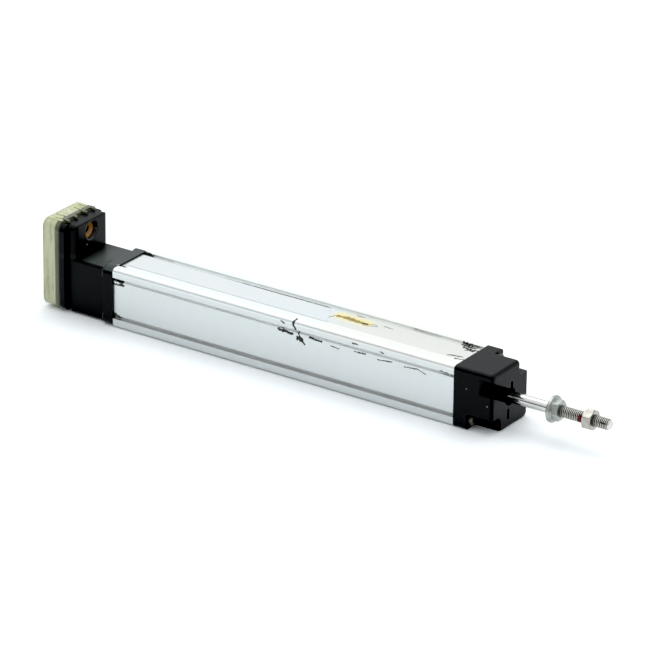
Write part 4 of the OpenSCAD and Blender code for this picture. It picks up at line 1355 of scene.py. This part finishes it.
def fit(piece: bpy.types.Object, material: bpy.types.Material, body: Body, slot: str, *nodes: str) -> None:
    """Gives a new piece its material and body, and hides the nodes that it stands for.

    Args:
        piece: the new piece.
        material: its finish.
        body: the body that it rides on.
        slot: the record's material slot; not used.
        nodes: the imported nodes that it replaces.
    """
    piece.data.materials.append(material)
    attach(piece, body.value)
    if nodes:
        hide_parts(*nodes)
    LOG.info("built %s on %s", piece.name, body.value)


@dataclass
class PushRod:
    """The push rod, its coupling rings and the two nuts on its thread."""

    effects: Effects
    rod: RodShape = field(default_factory=RodShape)
    flange_nut: NutShape = field(
        default_factory=lambda: NutShape(
            "flange_nut_plated", "flange_nut", flange_radius=7.05, chamfer_rear=False, turn=6.0, waviness=0.02
        )
    )
    lock_nut: NutShape = field(default_factory=lambda: NutShape("lock_nut_bright", "lock_nut", turn=32.0))

    def build(self) -> None:
        """Builds and dresses the rod and what rides on it."""
        steel = RodSteel("ground_rod_steel").build(self.effects)
        zinc = Metal("nut_zinc", base=(0.55, 0.575, 0.54), dull=(0.28, 0.30, 0.275), roughness=0.42, mottle=1.3)
        bright = Metal("nut_bright", base=(0.55, 0.535, 0.49), dull=(0.30, 0.29, 0.245), roughness=0.27, mottle=1.2)
        rings = Metal("ring_phosphate", base=(0.16, 0.16, 0.17), dull=(0.10, 0.10, 0.11), roughness=0.45)
        fit(self.rod.build(), steel, Body.PUSH_ROD, "rod_steel", "rod")
        fit(self.flange_nut.build(), zinc.build(self.effects), Body.PUSH_ROD, "zinc_steel", "flange_nut")
        fit(self.lock_nut.build(), bright.build(self.effects), Body.PUSH_ROD, "bright_steel", "lock_nut")
        dress(rings.build(self.effects), "coupling_rings", "seal_retainer")


@dataclass
class Housing:
    """The extruded profile with its label, the two end mouldings and their small parts."""

    effects: Effects
    label: LabelShape = field(default_factory=LabelShape)
    axis_z: float = 16.5
    boss_off: float = 12.2
    # Painted shade: black spots for the shaded notch on the neck's top and a shaded hollow on the rear plate's near
    # side.
    shade_spots: tuple[Mark, ...] = (
        Mark((-132.9, -7.2, 31.0), (-132.5, -4.2, 31.0), 1.2),
        Mark((-129.4, -16.4, 24.2), (-128.2, -16.4, 23.6), 1.0),
    )
    # Pale knocks and specks; the one on the upper near screw boss of the rear plate is a painted glint.
    knocks_and_glints: tuple[Mark, ...] = (
        Mark((94.9, -16.5, 22.4), (95.2, -16.5, 22.5), 0.45),
        Mark((107.2, -16.5, 15.9), (107.6, -16.5, 16.1), 0.5),
        Mark((-148.65, -4.1, 36.0), (-148.65, -3.9, 36.1), 0.8),
        Mark((-129.2, -14.6, 31.4), (-127.8, -14.9, 31.2), 0.6),
        Mark((-124.0, -11.0, 33.0), (-123.2, -9.6, 33.0), 0.7),
    )

    def build(self) -> None:
        """Builds and dresses the housing."""
        dress(AnodisedExtrusion("anodised_extrusion").build(self.effects), "profile")
        # Painted light on the black moulding: shade spots, glints among its pale knocks, and a highlight on the low
        # top at the rear.
        black = Moulded("black_moulding", knocks_and_glints=self.knocks_and_glints, shade_spots=self.shade_spots, lit_top_to_x=-122.8, specular=0.14)
        black = black.build(self.effects)
        dress(black, "front_flange", "rear_housing", "terminal_frame")
        # Painted highlight: the collars' pale rubbed colour stands for the light crescent at the bosses' rear rims.
        worn = Moulded("black_collar_highlight", base=(0.03, 0.03, 0.03), worn=(0.30, 0.31, 0.30), specular=0.5, wear=1.0)
        collar_highlight = worn.build(self.effects)
        off = self.boss_off
        for number, (sy, sz) in enumerate(((-1, 1), (1, 1), (-1, -1), (1, -1)), start=1):
            collar = BossCollar(f"boss_collar_{number}", sy * off, self.axis_z + sz * off)
            fit(collar.build(), collar_highlight, Body.HOUSING, "black_plastic")
        rubber = Moulded(
            "black_rubber", base=(0.015, 0.015, 0.016), roughness=0.6, specular=0.3, grain=3.0, wear=0.1
        )
        dress(
            rubber.build(self.effects),
            "front_gasket", "rear_gasket", "rod_seal", "front_damper", "rear_damper", "lead_seal", "cover_seal",
        )
        screws = Metal(
            "screw_zinc", base=(0.18, 0.175, 0.16), dull=(0.06, 0.055, 0.05), roughness=0.35, dirtiness=0.8
        )
        dress(screws.build(self.effects), "front_screws", "rear_screws", "terminal_screws")
        bronze = Metal("sintered_bronze", base=(0.42, 0.30, 0.14), dull=(0.26, 0.19, 0.10), roughness=0.5)
        dress(bronze.build(self.effects), "bearing_bush")
        fit(self.label.build(), LabelFilm("label_film").build(self.effects), Body.HOUSING, "white_plastic")


@dataclass
class TerminalBox:
    """The clear cover, the cable seal and the terminals behind the box."""

    effects: Effects
    # Painted shade: dark olive strokes round the spring tongues stand for the shade in the cover's slots.
    tongue_slot_shade: tuple[Mark, ...] = (
        Mark((-165.3, -7.6, 50.3), (-158.8, -6.9, 50.3), 0.9),
        Mark((-160.6, -7.4, 50.3), (-158.4, -7.1, 50.3), 1.7),
        Mark((-163.8, -11.3, 50.3), (-157.9, -10.5, 50.3), 0.8),
        Mark((-164.8, 10.1, 50.3), (-158.9, 10.0, 50.3), 1.0),
        Mark((-164.3, 5.4, 50.3), (-157.9, 4.6, 50.3), 0.9),
        Mark((-162.5, 7.7, 50.3), (-158.5, 7.5, 50.3), 0.7),
    )
    # Painted shade: a dark disc on the cable seal stands for the shade in its hole.
    seal_hole_shade: tuple[Mark, ...] = (Mark((-152.2, 0.4, 42.6), (-150.9, 0.4, 42.6), 5.6),)

    def build(self) -> None:
        """Dresses the terminal box."""
        dress(ClearPlastic("yellowed_clear").build(self.effects), "cover")
        olive = Moulded(
            "olive_tongue",
            base=(0.42, 0.45, 0.23),
            worn=(0.70, 0.72, 0.50),
            roughness=0.25,
            specular=0.5,
            wear=0.8,
            shade_spots=self.tongue_slot_shade,
            shade_spot_colour=(0.05, 0.055, 0.015),
        )
        pad = olive.build(self.effects)
        for name, y in (("tongue_pad_near", -9.0), ("tongue_pad_far", 7.5)):
            fit(TonguePad(name, y).build(), pad, Body.HOUSING, "clear_cover")
        entry = Moulded("entry_moulding", base=(0.012, 0.012, 0.010), roughness=0.28, specular=0.6, wear=0.6)
        fit(EntryThread().build(), entry.build(self.effects), Body.HOUSING, "black_plastic")
        # Painted highlight: the pale gold on the seal's rubbed edges stands for the light on its rim.
        amber = Moulded(
            "amber_rubber",
            base=(0.33, 0.14, 0.018),
            worn=(0.70, 0.46, 0.12),
            roughness=0.3,
            specular=0.6,
            wear=0.8,
            shade_spots=self.seal_hole_shade,
        )
        dress(amber.build(self.effects), "cable_seal")
        white = Moulded(
            "white_moulding", base=(0.70, 0.68, 0.60), worn=(0.78, 0.77, 0.72), roughness=0.45, specular=0.5, wear=0.3
        )
        dress(white.build(self.effects), "terminal_block", "carrier", "slide_shoes")
        brass = Metal("contact_brass", base=(0.78, 0.56, 0.26), dull=(0.52, 0.38, 0.18), roughness=0.3)
        dress(brass.build(self.effects), "terminal_clamps", "wiper", "wiper_rivets")
        lead = Moulded("lead_red", base=(0.32, 0.02, 0.015), worn=(0.40, 0.08, 0.06), roughness=0.35, specular=0.5)
        dress(lead.build(self.effects), "leads")
        board = Moulded("glass_fibre_board", base=(0.05, 0.11, 0.045), worn=(0.16, 0.24, 0.12), roughness=0.4)
        dress(board.build(self.effects), "track_board")
        track = Moulded("track_carbon", base=(0.012, 0.012, 0.012), roughness=0.3, specular=0.5, wear=0.1)
        dress(track.build(self.effects), "resistance_tracks")


@dataclass
class Studio:
    """The white floor, the soft lights, the pale surroundings and the camera.

    Attributes:
        eye: the camera's place in metres.
        azimuth: the camera's angle round Z, from straight in front of the near side.
        elevation: its angle over the floor.
        roll: its turn about its own axis.
        lens: focal length on a sensor of sensor_width.
        sensor_width: width of the sensor.
        floor_half: half the floor's side, in metres.
        floor_colour: the floor's colour.
        black_point: the light level that the picture shows as black.
    """

    eye: Point = (1.22596, -1.81019, 0.98261)
    azimuth: float = 34.027
    elevation: float = 23.704
    roll: float = 0.706
    lens: float = 254.87
    sensor_width: float = 36.0
    floor_half: float = 5.0
    floor_colour: Colour = (0.93, 0.955, 0.97)
    black_point: float = 0.012

    def camera(self) -> None:
        """Sets the camera, whose axes come from its three angles."""
        a, e, r = (math.radians(v) for v in (self.azimuth, self.elevation, self.roll))
        back = Vector((math.sin(a) * math.cos(e), -math.cos(a) * math.cos(e), math.sin(e)))
        right = Vector((math.cos(a), math.sin(a), 0.0))
        up = back.cross(right)
        turned_right = right * math.cos(r) + up * math.sin(r)
        turned_up = up * math.cos(r) - right * math.sin(r)
        data = bpy.data.cameras.new("camera")
        data.lens = self.lens
        data.sensor_width = self.sensor_width
        data.sensor_fit = "HORIZONTAL"
        data.clip_end = 50.0
        made = bpy.data.objects.new("camera", data)
        turn = Matrix((turned_right, turned_up, back)).transposed().to_4x4()
        made.matrix_world = Matrix.Translation(self.eye) @ turn
        bpy.context.scene.collection.objects.link(made)
        bpy.context.scene.camera = made

    def floor(self) -> None:
        """Lays the white floor under the model."""
        s = self.floor_half
        mesh = bpy.data.meshes.new("floor")
        mesh.from_pydata([(-s, -s, 0), (s, -s, 0), (s, s, 0), (-s, s, 0)], [], [(0, 1, 2, 3)])
        made = bpy.data.objects.new("floor", mesh)
        bpy.context.scene.collection.objects.link(made)
        material = bpy.data.materials.new("floor_white")
        material.use_nodes = True
        shader = material.node_tree.nodes["Principled BSDF"]
        shader.inputs["Base Color"].default_value = (*self.floor_colour, 1.0)
        shader.inputs["Roughness"].default_value = 0.6
        shader.inputs["Specular IOR Level"].default_value = 0.2
        mesh.materials.append(material)

    def area(self, name: str, place: Point, aim: Point, size: float, power: float, tint: Colour) -> None:
        """Hangs one soft square light.

        Args:
            name: the light's name.
            place: its middle, in metres.
            aim: the point that it faces, in metres.
            size: its side, in metres.
            power: its power in watts.
            tint: its colour.
        """
        data = bpy.data.lights.new(name, "AREA")
        data.shape = "SQUARE"
        data.size = size
        data.energy = power
        data.color = tint
        made = bpy.data.objects.new(name, data)
        made.location = place
        made.rotation_euler = (Vector(place) - Vector(aim)).to_track_quat("Z", "Y").to_euler()
        bpy.context.scene.collection.objects.link(made)

    def surroundings(self) -> None:
        """Paints the studio's walls: bright above and behind, with a black card before the near side."""
        world = bpy.data.worlds.new("studio")
        bpy.context.scene.world = world
        world.use_nodes = True
        world.node_tree.nodes.clear()
        t = Tree(world.node_tree)
        way = t.node("ShaderNodeTexCoord").outputs["Generated"]
        a = math.radians(self.azimuth)
        height = t.parts(way)[2]
        to_camera = t.measure("DOT_PRODUCT", way, (math.sin(a), -math.cos(a), 0.0))
        in_front = t.measure("DOT_PRODUCT", way, (-0.2, -0.98, 0.0))
        level = t.step(height, 0.30, 0.80, 0.72, 1.25)
        card = t.math("MULTIPLY", t.step(in_front, 0.3, 0.6), t.step(height, 0.14, 0.34, 1.0, 0.0))
        glow = t.math("MULTIPLY", t.step(to_camera, -0.9, -0.1, 0.30, 0.0), t.step(height, 0.45, 0.7, 1.0, 0.2))
        level = t.math("ADD", t.math("MULTIPLY", level, t.math("MULTIPLY_ADD", card, -0.93, 1.0)), glow)
        background = t.node("ShaderNodeBackground", {"Color": (0.96, 0.985, 1.0), "Strength": level})
        t.node("ShaderNodeOutputWorld", {"Surface": background.outputs[0]})

    def build(self) -> None:
        """Builds the whole studio."""
        self.camera()
        self.floor()
        self.surroundings()
        self.area("overhead", (-0.15, 0.35, 1.25), (0.0, 0.0, 0.0), 1.1, 6.0, (1.0, 1.0, 1.0))
        scene = bpy.context.scene
        scene.view_settings.view_transform = "Standard"
        scene.view_settings.look = "None"
        scene.view_settings.use_curve_mapping = True
        scene.view_settings.curve_mapping.black_level = (self.black_point,) * 3
        LOG.info("studio ready")


def main() -> None:
    """Builds the studio and each sub-assembly in order."""
    logging.basicConfig(level=logging.INFO, format="%(name)s: %(message)s")
    effects = Effects()
    Studio().build()
    Housing(effects).build()
    TerminalBox(effects).build()
    PushRod(effects).build()


if __name__ == "__main__":
    main()
